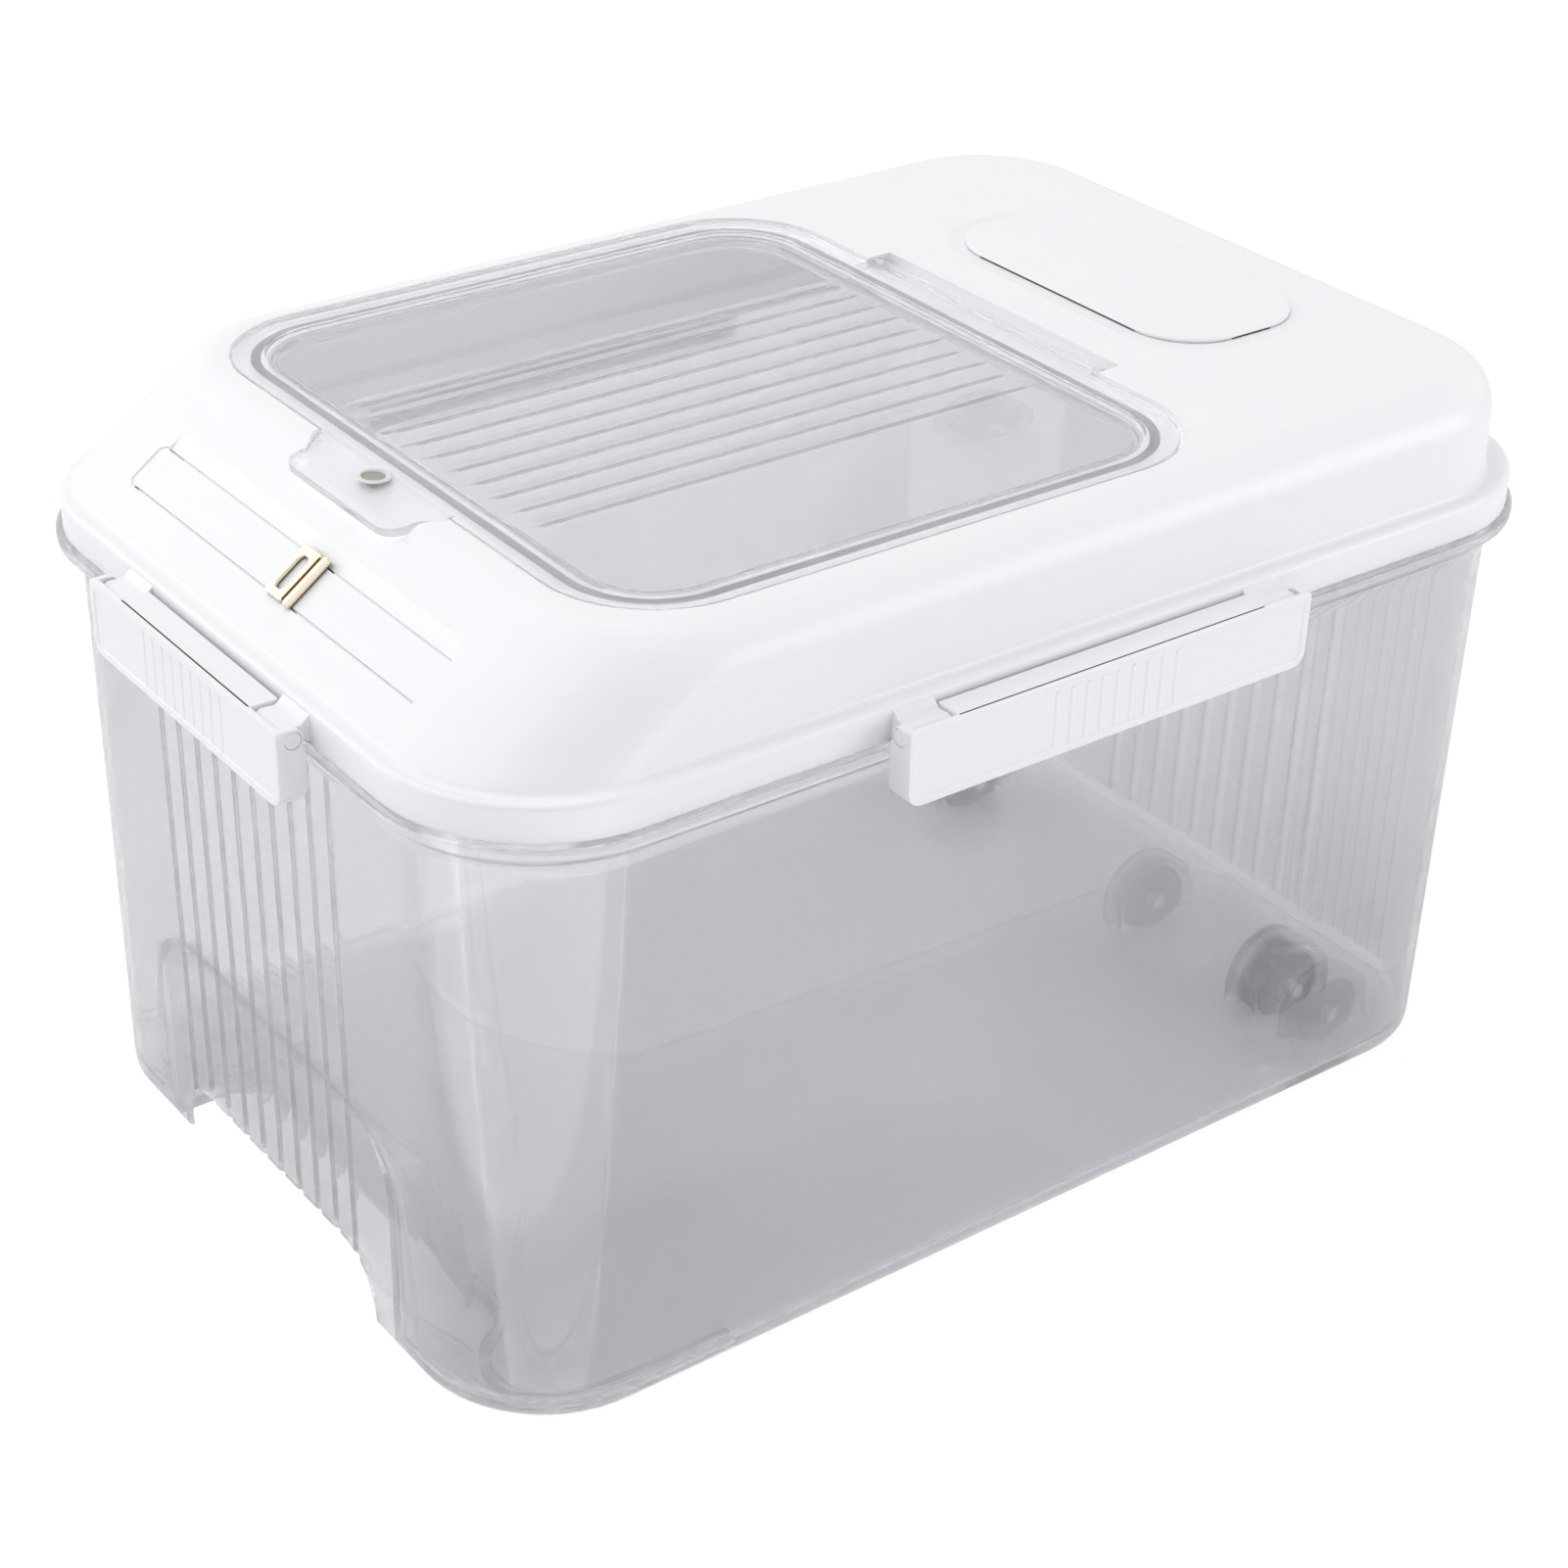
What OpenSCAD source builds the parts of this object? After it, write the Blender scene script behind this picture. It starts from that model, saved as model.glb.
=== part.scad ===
// Rice bin with a lift-off lid, a flip window, four swing clips and two rear wheels.
// X is across the bin, the front faces -Y and the bin stands on z = 0.

/* [Bin] */
// Length over the rim, front to rear
rim_l = 400; // [360:1:440]
// Width over the rim
rim_w = 272.4; // [256:0.2:300]
// Corner radius of the rim in plan
rim_r = 51; // [46:0.5:58]
// Height of the bottom edge above the ground
foot_h = 4; // [3:0.1:6]
// Height from the bottom edge to the underside of the rim
wall_h = 190.5; // [150:0.5:220]
// Thickness of the walls and the floor
wall_t = 2.5; // [2:0.1:3.2]
// Lean of the walls, outwards from floor to rim
wall_lean = 1.6; // [0.5:0.1:3]
// Overhang of the rim past the wall
rim_out = 7; // [6:0.1:8]
// Height of the outer edge of the rim
rim_t = 3.2; // [2.4:0.1:4]
// Height of the sealing lip above the rim
lip_h = 5.8; // [4:0.1:8]
// Radius of the bottom edge
edge_r = 3; // [1:0.5:5]
// Spacing of the flutes in the front and rear walls
flute_pitch = 11; // [9:0.5:14]
// Number of flutes in each of those walls
flute_count = 10; // [4:1:12]
// Radius of one flute
flute_r = 1.2; // [0.8:0.1:1.8]

/* [Hand recess and feet] */
// Half width of the mouth at the bottom edge
mouth_w = 59; // [50:1:66]
// Height of the mouth
mouth_h = 23; // [18:1:30]
// Half width of the hood inside
hood_w = 70; // [62:1:78]
// Depth of the hood behind the front wall
hood_d = 30; // [24:1:38]
// Height of the hood
hood_h = 76; // [60:1:90]
// Corner radius of the hood in plan
hood_r = 14; // [8:1:18]
// Radius of the upper corners of the hood in the front view
hood_top_r = 26; // [16:1:34]
// Width of the foot rib
rib_w = 3; // [2:0.2:5]
// Distance of the foot rib from the front edge where it passes the corner
rib_front = 17; // [14:1:22]
// Length of the foot rib along the side
rib_l = 52; // [30:1:90]

/* [Wheels] */
// Distance of each wheel from the middle
wheel_x = 84; // [70:1:96]
// Distance of the wheels from the middle towards the rear
wheel_y = 146; // [130:1:152]
// Radius of a wheel
wheel_r = 13; // [11:0.5:15]
// Width of a wheel
wheel_w = 10; // [8:0.5:14]
// Thickness of each of its two discs
disc_t = 3.2; // [2:0.1:3.8]
// Depth of the groove between the discs
groove_d = 2.4; // [1:0.1:4]
// Radius of an axle
axle_r = 2.5; // [2:0.1:3]
// Gap between a wheel and its well
well_gap = 2; // [1.5:0.1:3]
// Thickness of the well
well_t = 2.2; // [1.8:0.1:3]
// Height of the bearing bosses on the cheeks
boss_h = 3; // [2.5:0.1:4]
// Corner radius of the hexagonal bosses
boss_r = 5; // [4:0.1:6]

/* [Lid] */
// Height of the skirt
skirt_h = 11.4; // [10:0.1:14]
// Step in from the rim to the skirt
skirt_in = 2.1; // [1.5:0.1:3]
// Thickness of the skirt
skirt_t = 2.2; // [1.8:0.1:2.6]
// Thickness of the shell
shell_t = 2.4; // [2:0.1:3]
// Height of the dome above the ledge
dome_h = 33.6; // [28:0.1:40]
// Ledge beside the dome, in from the skirt
ledge_side = 4.5; // [3:0.5:8]
// Ledge behind the dome
ledge_rear = 9.9; // [6:0.1:14]
// Ledge before the dome
ledge_front = 6; // [4:0.5:10]
// Corner radius of the dome in plan
dome_r = 44; // [36:1:48]
// Radius of the upper edge of the dome
crown_r = 12; // [8:0.5:14]
// Distance from the middle to the top of the front slope
slope_y = 149; // [146.5:0.5:153]
// Height of the front edge of the slope above the ledge
slope_foot = 2; // [1:0.5:4]
// Radius between the slope and its front edge
foot_edge = 4.4; // [4:0.1:6]
// Height of the seal under the ledge
seal_h = 3.2; // [2.5:0.1:4]

/* [Window] */
// Half width of the flap
flap_w = 113.7; // [100:0.1:114]
// Length of the flap
flap_l = 210; // [190:1:214]
// Distance of the rear edge of the flap from the middle
flap_rear = 66.2; // [60:0.1:72]
// Corner radius of the flap
flap_r = 34; // [26:1:38]
// Thickness of the flap
flap_t = 2.6; // [2.2:0.1:3]
// Width of the border that rests on the lid
border_w = 10.6; // [8:0.2:13]
// Depth of the collar below the flap
collar_h = 4; // [3:0.5:6]
// Half width of the lifting tab
tab_w = 29; // [24:1:34]
// Length of the tab
tab_l = 18.2; // [14:0.2:20]
// Droop of the tab in degrees
tab_droop = 9; // [5:1:12]
// Radius of the rubber buffer
buffer_r = 3.2; // [2.5:0.1:4]
// Half width of the hinge pocket
hinge_w = 55; // [40:1:60]
// Radius of the hinge barrel
barrel_r = 2.4; // [2.1:0.1:2.6]
// Radius of a hinge pin
hinge_pin_r = 1.2; // [0.8:0.1:1.4]
// Spacing of the ribs under the flap
panel_pitch = 10.5; // [8:0.5:12]
// Number of those ribs
panel_count = 10; // [4:1:12]

/* [Plaque and date strip] */
// Half width of the plaque
plaque_w = 58; // [40:1:66]
// Depth of the plaque, front to rear
plaque_l = 58; // [40:1:62]
// Distance of its middle from the middle of the bin
plaque_y = 128; // [124:1:130]
// Rise of the plaque above the lid
plaque_h = 1; // [0.5:0.1:2]
// Depth of the shallow dish round the plaque
dish_h = 0.5; // [0.2:0.1:1]
// Half length of the date slots
strip_w = 78; // [60:1:84]
// Distance between the two slots
slot_span = 15.5; // [12:0.5:17]
// Width of a slot
slot_w = 1.5; // [1.3:0.1:2]
// Distance of the strip from the top of the slope
strip_down = 33.6; // [30:0.2:36]
// Width of the slider
slider_w = 14.5; // [10:0.5:20]
// Thickness of the slider plate
slider_t = 1.4; // [1:0.1:2]
// Place of the slider along the strip
slider_at = 8; // [-60:1:60]

/* [Clips] */
// Half length of the side clips
clip_side = 73; // [60:1:80]
// Half length of the front and rear clips
clip_end = 54; // [44:1:60]
// Distance of the clip pins outside the rim
pin_out = 4.4; // [4.2:0.1:5]
// Distance of the clip pins above the underside of the rim
pin_up = 8.5; // [8:0.1:9]
// Outer face of a clip, out from its pins
clip_out = 5; // [4.8:0.1:6]
// Thickness of a clip
clip_t = 2.2; // [1.8:0.1:2.2]
// Top of a clip above its pins
clip_top = 3.3; // [3:0.1:3.5]
// Bottom of a clip below its pins
clip_drop = 19.8; // [16:0.2:24]
// Thickness of the end walls
clip_end_t = 2.5; // [2:0.1:3]
// Radius of the lower corners
clip_r = 5; // [3.5:0.1:8]
// Radius of the pin heads in the end walls
head_r = 2.5; // [2:0.1:2.6]
// Radius of the pin shafts in the lugs
shaft_r = 1.4; // [1:0.1:1.6]
// Length of a lug
lug_l = 14; // [10:1:16]

/* [Hidden] */
$fn = 64;
// Cut tools reach this far past the face that they cut
past = 1;
// Clearances between moving pieces, of running fits and of pressed pins
gap = 0.3;
run_fit = 0.08;
press_fit = 0.03;

clear_smoke = [0.80, 0.81, 0.85, 0.45];
clear_flap = [0.86, 0.87, 0.90, 0.5];
white = [0.96, 0.96, 0.97];
silicone = [0.90, 0.91, 0.92];
gold = [0.86, 0.70, 0.36];
wheel_grey = [0.28, 0.28, 0.31];
pin_white = [0.90, 0.90, 0.92];

// Corner centres that the rim, walls, skirt and seal share
corner_x = rim_w / 2 - rim_r;
corner_y = rim_l / 2 - rim_r;
floor_z = foot_h;
rim_z = foot_h + wall_h;
rim_top = rim_z + rim_t;
lip_top = rim_top + lip_h;
wall_top_r = rim_r - rim_out;
wall_foot_r = wall_top_r - wall_lean;
lean = atan(wall_lean / (wall_h - rim_out));
front_y = -(corner_y + wall_foot_r);

// Lid heights and radii about the same corner centres
skirt_z = rim_top + gap;
ledge_z = skirt_z + skirt_h;
top_z = ledge_z + dome_h;
skirt_r = rim_r - skirt_in;
land_z = ledge_z - shell_t;
seal_in = wall_top_r - wall_t - 0.6;
rib_in = seal_in - 0.2 - skirt_t;
dome_half = corner_x + skirt_r - ledge_side;
dome_rear = corner_y + skirt_r - ledge_rear;
dome_front = -(corner_y + skirt_r - ledge_front);
slope_run = -slope_y - dome_front;
slope_rise = dome_h - slope_foot;
slope_a = atan(slope_rise / slope_run);

// Corner radius of the plaque in plan
plaque_r = 21;

// Window stack
flap_top = top_z - 0.2;
flap_z = flap_top - flap_t;
bed_z = flap_z - gap;
bed_t = 4;
flap_y = flap_rear - flap_l / 2;
flap_front = flap_rear - flap_l;
hinge_y = flap_rear + 4.5;
hinge_z = flap_top - barrel_r;
pocket_rear = hinge_y + 5.8;
hole_w = flap_w - border_w;
hole_l = flap_l - 2 * border_w;
hole_r = flap_r - border_w;
pin_l = 9;
front_gap = 0.5;
rear_gap = 1.5;
buffer_in = 3.2;

// Wheels and wells
wheel_z = wheel_r;
well_w = wheel_w / 2 + 1;
well_r = wheel_r + well_gap;

// Clips
pin_x = rim_w / 2 + pin_out;
pin_y = rim_l / 2 + pin_out;
pin_z = rim_z + pin_up;
clip_back = -pin_out + 0.5;

// Flat rounded rectangle with true arcs
module plan(w, l, r) {
  square([w - 2 * r, l], center = true);
  square([w, l - 2 * r], center = true);
  for (x = [-1, 1])
    for (y = [-1, 1])
      translate([x * (w / 2 - r), y * (l / 2 - r)])
        circle(r);
}

// Sweeps a profile round the bin, x being the distance from the corner centres
module around() {
  for (x = [0, 1])
    for (y = [0, 1])
      mirror([x, 0, 0])
        mirror([0, y, 0])
          translate([corner_x, corner_y, 0])
            rotate_extrude(angle = 90)
              children();
  for (x = [0, 1])
    mirror([x, 0, 0])
      translate([corner_x, corner_y, 0])
        rotate([90, 0, 0])
          linear_extrude(2 * corner_y)
            children();
  for (y = [0, 1])
    mirror([0, y, 0])
      translate([-corner_x, corner_y, 0])
        rotate([90, 0, 90])
          linear_extrude(2 * corner_x)
            children();
}

// Extrudes a side view, drawn as y and z, across the bin
module across(half) {
  translate([-half, 0, 0])
    rotate([90, 0, 90])
      linear_extrude(2 * half)
        children();
}

// Section of the tub wall: rounded foot, leaning wall, flared rim and sealing lip
module wall_section() {
  band = wall_t + 8;
  difference() {
    polygon([
      [wall_foot_r - band, floor_z],
      [wall_foot_r, floor_z],
      [wall_top_r, rim_z - rim_out],
      [rim_r, rim_z],
      [rim_r, rim_top],
      [wall_top_r, rim_top],
      [wall_top_r, lip_top],
      [wall_top_r - wall_t, lip_top],
      [wall_foot_r - wall_t, floor_z + wall_t],
      [wall_foot_r - band, floor_z + wall_t]
    ]);
    translate([wall_foot_r - edge_r, floor_z - past])
      difference() {
        square([edge_r + past, edge_r + past]);
        translate([0, edge_r + past])
          circle(edge_r);
      }
  }
}

// One wall's flutes, half-round ribs on its inner face that lean with it
module flutes() {
  start = -(flute_count - 1) / 2 * flute_pitch;
  for (i = [0 : flute_count - 1])
    translate([start + i * flute_pitch, front_y + wall_t, floor_z + wall_t])
      rotate([lean, 0, 0])
        cylinder(r = flute_r, h = wall_h - rim_out);
}

// Hood over the hand recess: an arched side view cut to a rounded plan
module hood(inset) {
  arch_r = (hood_d * hood_d + hood_h * hood_h) / (2 * hood_d);
  intersection() {
    across(hood_w - inset)
      intersection() {
        translate([front_y + hood_d - arch_r, floor_z])
          circle(arch_r - inset, $fn = 180);
        translate([front_y + wall_t / 2 + inset / 2, floor_z - inset * past])
          square([hood_d, hood_h]);
      }
    translate([0, front_y, floor_z - past])
      linear_extrude(hood_h + past)
        plan(2 * (hood_w - inset), 2 * (hood_d - inset), hood_r - inset);
    translate([0, front_y + hood_d, floor_z])
      rotate([90, 0, 0])
        linear_extrude(hood_d)
          plan(2 * (hood_w - inset), 2 * (hood_h - inset), hood_top_r - inset);
  }
}

// Arched opening through the front wall
module mouth() {
  shoulder = 18;
  translate([0, front_y + wall_t + past / 2, floor_z])
    rotate([90, 0, 0])
      linear_extrude(2 * wall_t + 2 * past, center = true) {
        translate([-mouth_w, -past])
          square([2 * mouth_w, past + mouth_h - shoulder]);
        translate([-mouth_w + shoulder, -past])
          square([2 * (mouth_w - shoulder), past + mouth_h]);
        for (x = [-1, 1])
          translate([x * (mouth_w - shoulder), mouth_h - shoulder])
            circle(shoulder);
      }
}

// Foot rib below the floor: round the hood's corner, along the front, then down the side
module foot_rib() {
  hood_side = hood_w - 16;
  corner_in = hood_side + 22;
  corner_out = corner_in + 10;
  side_in = corner_out + 21;
  side_out = side_in + 10;
  behind = front_y + hood_d + 4;
  route = [
    [hood_side, behind + 1],
    [corner_in, behind],
    [corner_out, front_y + rib_front],
    [side_in, front_y + rib_front],
    [side_out, behind - 3],
    [side_out + 1, behind - 3 + rib_l]
  ];
  for (i = [0 : len(route) - 2]) {
    from = route[i];
    run = route[i + 1] - from;
    translate([from[0], from[1], 0])
      rotate(atan2(run[1], run[0]))
        linear_extrude(foot_h + wall_t / 2) {
          translate([0, -rib_w / 2])
            square([norm(run), rib_w]);
          circle(rib_w / 2);
          translate([norm(run), 0])
            circle(rib_w / 2);
        }
  }
}

// Wheel well about the axle line, cut off at the floor; grow is its thickness
module well(grow) {
  half = well_w + grow;
  r = well_r + grow;
  foot = floor_z - wheel_z - (grow > 0 ? 0 : past);
  across(half)
    intersection() {
      union() {
        circle(r);
        translate([-r, foot])
          square([2 * r, -foot]);
      }
      translate([-r, foot])
        square([2 * r, 2 * r]);
    }
}

// Bearing bosses on both cheeks of a well
module well_bosses() {
  for (x = [0, 1])
    mirror([x, 0, 0])
      translate([well_w + well_t - past / 2, 0, 0])
        rotate([0, 90, 0])
          cylinder(r = boss_r, h = boss_h + past / 2, $fn = 6);
}

// Sockets and snap slots that take the axle from below
module axle_seat() {
  half = well_w + well_t + boss_h - 1.5;
  mouth = 2 * axle_r - 0.4;
  translate([-half, 0, 0])
    rotate([0, 90, 0])
      cylinder(r = axle_r + press_fit, h = 2 * half);
  translate([-half, -mouth / 2, -boss_r - past])
    cube([2 * half, mouth, boss_r + past]);
}

module at_wheel(side) {
  translate([side * wheel_x, wheel_y, wheel_z])
    children();
}

module bin_body() {
  color(clear_smoke)
    difference() {
      union() {
        around()
          wall_section();
        translate([0, 0, floor_z])
          linear_extrude(wall_t)
            plan(2 * (corner_x + wall_foot_r - edge_r), 2 * (corner_y + wall_foot_r - edge_r), wall_foot_r - edge_r);
        flutes();
        mirror([0, 1, 0])
          flutes();
        hood(0);
        for (x = [0, 1])
          mirror([x, 0, 0])
            foot_rib();
        for (side = [-1, 1])
          at_wheel(side) {
            well(well_t);
            well_bosses();
          }
      }
      hood(wall_t);
      mouth();
      for (side = [-1, 1])
        at_wheel(side) {
          well(0);
          axle_seat();
        }
    }
}

// Section of the lid's rim: skirt, land over the seal and inner rib
module skirt_section() {
  soft = 1.2;
  polygon([
    [rib_in, ledge_z],
    [skirt_r - soft, ledge_z],
    [skirt_r, ledge_z - soft],
    [skirt_r, skirt_z],
    [skirt_r - skirt_t, skirt_z],
    [skirt_r - skirt_t, land_z],
    [rib_in + skirt_t, land_z],
    [rib_in + skirt_t, skirt_z + past],
    [rib_in, skirt_z + past]
  ]);
}

// Upright disc with a rounded upper edge
module soft_disc(r, edge, h) {
  rotate_extrude($fn = 48) {
    translate([0, -h])
      square([r, h - edge]);
    translate([0, -edge - 0.01])
      square([r - edge, edge + 0.01]);
    translate([r - edge, -edge])
      intersection() {
        circle(edge, $fn = 48);
        square(edge);
      }
  }
}

// Dome of the lid with its front slope; inset shifts every face inwards by the same depth
module dome(inset) {
  r = dome_r - inset;
  edge = crown_r - inset;
  x = dome_half - dome_r;
  z = top_z - inset;
  base = land_z + (inset > 0 ? -past : shell_t / 4);
  slope_disc = -slope_y + dome_r - crown_r * (1 - tan(slope_a / 2));
  foot = ledge_z + slope_foot + foot_edge * (1 - tan(45 - slope_a / 2)) - inset;
  hull()
    for (side = [-x, x]) {
      translate([side, dome_rear - dome_r, z])
        soft_disc(r, edge, z - base);
      translate([side, slope_disc, z])
        soft_disc(r, edge, edge + past);
      translate([side, dome_front + dome_r, foot])
        soft_disc(r, foot_edge - inset, foot - base);
    }
}

// Blocks inside the dome that carry the window, its hinge and the tab's channel
module window_beds() {
  translate([0, flap_y, bed_z - bed_t])
    linear_extrude(bed_t + flap_t)
      plan(2 * flap_w + 5, flap_l + 5, flap_r + 2.5);
  translate([-hinge_w - pin_l, flap_rear - 2, hinge_z - barrel_r - gap - 2.4])
    cube([2 * (hinge_w + pin_l), pocket_rear - flap_rear + 4.4, 8]);
  translate([-tab_w - 3, flap_front - tab_l, bed_z - bed_t])
    cube([2 * tab_w + 6, tab_l + past, bed_t + flap_t]);
}

// Places its children at the middle of the date strip, with z out of the slope
module on_slope() {
  down = strip_down;
  translate([0, -slope_y - down * cos(slope_a), top_z - down * sin(slope_a)])
    rotate([slope_a, 0, 0])
      children();
}

// Channel that lets the tab pass over the edge of the slope
module tab_channel() {
  translate([0, 0, -gap])
    at_tab()
      translate([-tab_w - 0.5, -tab_l - 2, 0])
        cube([2 * tab_w + 1, tab_l + 3, 12]);
}

// Tab frame: starts at the flap's front edge and droops with the tab
module at_tab() {
  translate([0, flap_front, flap_z])
    rotate([tab_droop, 0, 0])
      children();
}

// Two lugs for the pins of one clip, seen in the clip's own frame
module lugs(half) {
  root = -pin_out - skirt_in - skirt_t / 2;
  for (y = [0, 1])
    mirror([0, y, 0])
      translate([0, half - clip_end_t - gap, 0])
        rotate([90, 0, 0])
          linear_extrude(lug_l) {
            circle(clip_out - clip_t - gap);
            translate([root, -2.5])
              square([-root, 4]);
          }
}

// Bores of the lug pins
module lug_bores(half) {
  for (y = [0, 1])
    mirror([0, y, 0])
      translate([0, half + past, 0])
        rotate([90, 0, 0])
          cylinder(r = shaft_r + press_fit, h = lug_l + clip_end_t + gap - 2 + past);
}

// Clip frames: x points away from the bin and z up, from the middle of the pin line
module at_clip(side) {
  turn = side == "right" ? 0 : side == "rear" ? 90 : side == "left" ? 180 : 270;
  out = side == "right" || side == "left" ? pin_x : pin_y;
  rotate(turn)
    translate([out, 0, pin_z])
      children();
}

module lid_shell() {
  color(white)
    difference() {
      union() {
        around()
          skirt_section();
        difference() {
          dome(0);
          difference() {
            dome(shell_t);
            window_beds();
          }
        }
        translate([0, plaque_y, top_z - shell_t / 2])
          linear_extrude(shell_t / 2 + plaque_h)
            plan(2 * plaque_w + past, plaque_l + past, plaque_r + past / 2);
        for (side = ["right", "left"])
          at_clip(side)
            lugs(clip_side);
        for (side = ["front", "rear"])
          at_clip(side)
            lugs(clip_end);
      }
      translate([0, flap_y + (rear_gap - front_gap) / 2, bed_z])
        linear_extrude(10)
          plan(2 * (flap_w + front_gap), flap_l + front_gap + rear_gap, flap_r + front_gap);
      translate([0, flap_y, bed_z - bed_t - past])
        linear_extrude(bed_t + 2 * past)
          plan(2 * hole_w, hole_l, hole_r);
      window_groove();
      translate([-hinge_w - 0.5, flap_rear - past, hinge_z - barrel_r - gap])
        cube([2 * hinge_w + 1, pocket_rear - flap_rear + past, 10]);
      for (x = [0, 1])
        mirror([x, 0, 0])
          translate([hinge_w, hinge_y, hinge_z])
            rotate([0, 90, 0])
              cylinder(r = hinge_pin_r + press_fit, h = pin_l / 2 + 0.6);
      tab_channel();
      plaque_dish();
      date_slots();
      for (side = ["right", "left"])
        at_clip(side)
          lug_bores(clip_side);
      for (side = ["front", "rear"])
        at_clip(side)
          lug_bores(clip_end);
    }
}

// Shallow dish cut round the plaque, which rises from its floor
module plaque_dish() {
  dish_w = 5;
  translate([0, plaque_y, top_z - dish_h])
    linear_extrude(dish_h + plaque_h + past)
      difference() {
        plan(2 * (plaque_w + dish_w), plaque_l + 2 * dish_w, plaque_r + dish_w);
        plan(2 * plaque_w, plaque_l, plaque_r);
      }
}

// Slots of the date slider, with the shallow groove at their left end and the step above them
module date_slots() {
  groove_h = 0.5;
  groove_w = 3.1;
  step_w = 4.6;
  on_slope() {
    for (v = [-1, 1])
      translate([-strip_w, v * slot_span / 2 - slot_w / 2, -shell_t - 4])
        cube([2 * strip_w, slot_w, shell_t + 8]);
    translate([-strip_w - groove_w, -slot_span / 2 - slot_w / 2, -groove_h])
      cube([groove_w, slot_span + slot_w, groove_h + past]);
    translate([-strip_w - groove_w, slot_span / 2, -groove_h])
      cube([2 * strip_w + groove_w, step_w, groove_h + past]);
  }
}

// Ring of the window seal in plan
module seal_ring_plan(grow) {
  difference() {
    plan(2 * (hole_w + 5 + grow), hole_l + 2 * (5 + grow), hole_r + 5 + grow);
    plan(2 * (hole_w + 2 - grow), hole_l + 2 * (2 - grow), hole_r + 2 - grow);
  }
}

module window_groove() {
  translate([0, flap_y, bed_z - 2])
    linear_extrude(2 + past)
      seal_ring_plan(0);
}

module window_seal() {
  color(silicone)
    translate([0, flap_y, bed_z - 2])
      linear_extrude(2)
        seal_ring_plan(-0.1);
}

module lid_seal() {
  color(silicone)
    around()
      translate([seal_in, land_z - seal_h])
        square([skirt_r - skirt_t - 0.2 - seal_in, seal_h]);
}

module window_flap() {
  collar_t = 1.6;
  color(clear_flap)
    difference() {
      union() {
        translate([0, flap_y, flap_z])
          linear_extrude(flap_t)
            plan(2 * flap_w, flap_l, flap_r);
        translate([0, flap_y, flap_z - collar_h])
          linear_extrude(collar_h + past)
            difference() {
              plan(2 * (hole_w - 1), hole_l - 2, hole_r - 1);
              plan(2 * (hole_w - 1 - collar_t), hole_l - 2 - 2 * collar_t, hole_r - 1 - collar_t);
            }
        for (i = [0 : panel_count - 1])
          translate([(i - (panel_count - 1) / 2) * panel_pitch, flap_y - hole_l / 2 + 8, flap_z])
            rotate([-90, 0, 0])
              cylinder(r = 0.8, h = hole_l - 16);
        translate([-hinge_w + 0.5, flap_rear - past, flap_z])
          cube([2 * hinge_w - 1, hinge_y - flap_rear + past, flap_t]);
        translate([-hinge_w + 0.5, hinge_y, hinge_z])
          rotate([0, 90, 0])
            cylinder(r = barrel_r, h = 2 * hinge_w - 1);
        tab();
      }
      for (x = [0, 1])
        mirror([x, 0, 0])
          translate([hinge_w + past, hinge_y, hinge_z])
            rotate([0, -90, 0])
              cylinder(r = hinge_pin_r + run_fit, h = pin_l / 2 + 1 + past);
      at_tab()
        translate([0, -buffer_in, -past])
          cylinder(r = buffer_r / 2 + press_fit, h = flap_t + 2 * past);
    }
}

// Lifting tab, which droops over the edge of the slope
module tab() {
  soft = 7;
  at_tab()
    linear_extrude(flap_t) {
      translate([-tab_w, -tab_l + soft])
        square([2 * tab_w, tab_l - soft + 0.4]);
      translate([-tab_w + soft, -tab_l])
        square([2 * (tab_w - soft), soft + 1]);
      for (x = [-1, 1])
        translate([x * (tab_w - soft), -tab_l + soft])
          circle(soft);
    }
}

// Rubber buffer, a plug pressed through the root of the tab
module flap_buffer() {
  head_h = 0.8;
  color(silicone)
    at_tab()
      translate([0, -buffer_in, 0]) {
        cylinder(r = buffer_r / 2, h = flap_t + head_h / 2);
        translate([0, 0, flap_t])
          cylinder(r = buffer_r, h = head_h);
      }
}

module window_hinge_pin(side) {
  color(pin_white)
    translate([side * (hinge_w - pin_l / 2), hinge_y, hinge_z])
      rotate([0, side * 90, 0])
        cylinder(r = hinge_pin_r, h = pin_l);
}

module window_hinge_pin_left() {
  window_hinge_pin(-1);
}

module window_hinge_pin_right() {
  window_hinge_pin(1);
}

// Slider: framed plate over the strip, with legs hooked behind the two slots
module date_slider() {
  leg_t = slot_w - 2 * gap;
  frame = 3;
  reach = slot_span / 2 + leg_t / 2;
  deep = shell_t + gap;
  color(gold)
    on_slope()
      translate([slider_at, 0, 0]) {
        difference() {
          translate([-slider_w / 2, -reach - 1, gap])
            cube([slider_w, 2 * reach + 2, slider_t]);
          translate([-slider_w / 2 + frame + 1, -reach + frame, 0])
            cube([slider_w - 2 * frame - 2, 2 * (reach - frame), slider_t + past]);
        }
        for (v = [0, 1])
          mirror([0, v, 0])
            translate([-slider_w / 2 + 1, slot_span / 2 - leg_t / 2, 0]) {
              translate([0, 0, -deep - 1])
                cube([slider_w - 2, leg_t, deep + 1 + gap + slider_t / 2]);
              translate([0, 0, -deep - 1])
                cube([slider_w - 2, leg_t + 1, 1]);
            }
      }
}

// Outline of a clip seen from outside, with rounded lower corners
module clip_outline(half, in) {
  r = clip_r - in;
  translate([-half + in, -clip_drop + in + r])
    square([2 * (half - in), clip_drop + clip_top - 2 * in - r]);
  translate([-half + clip_r, -clip_drop + in])
    square([2 * (half - clip_r), clip_drop - in]);
  for (y = [-1, 1])
    translate([y * (half - clip_r), -clip_drop + clip_r])
      circle(r);
}

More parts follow.
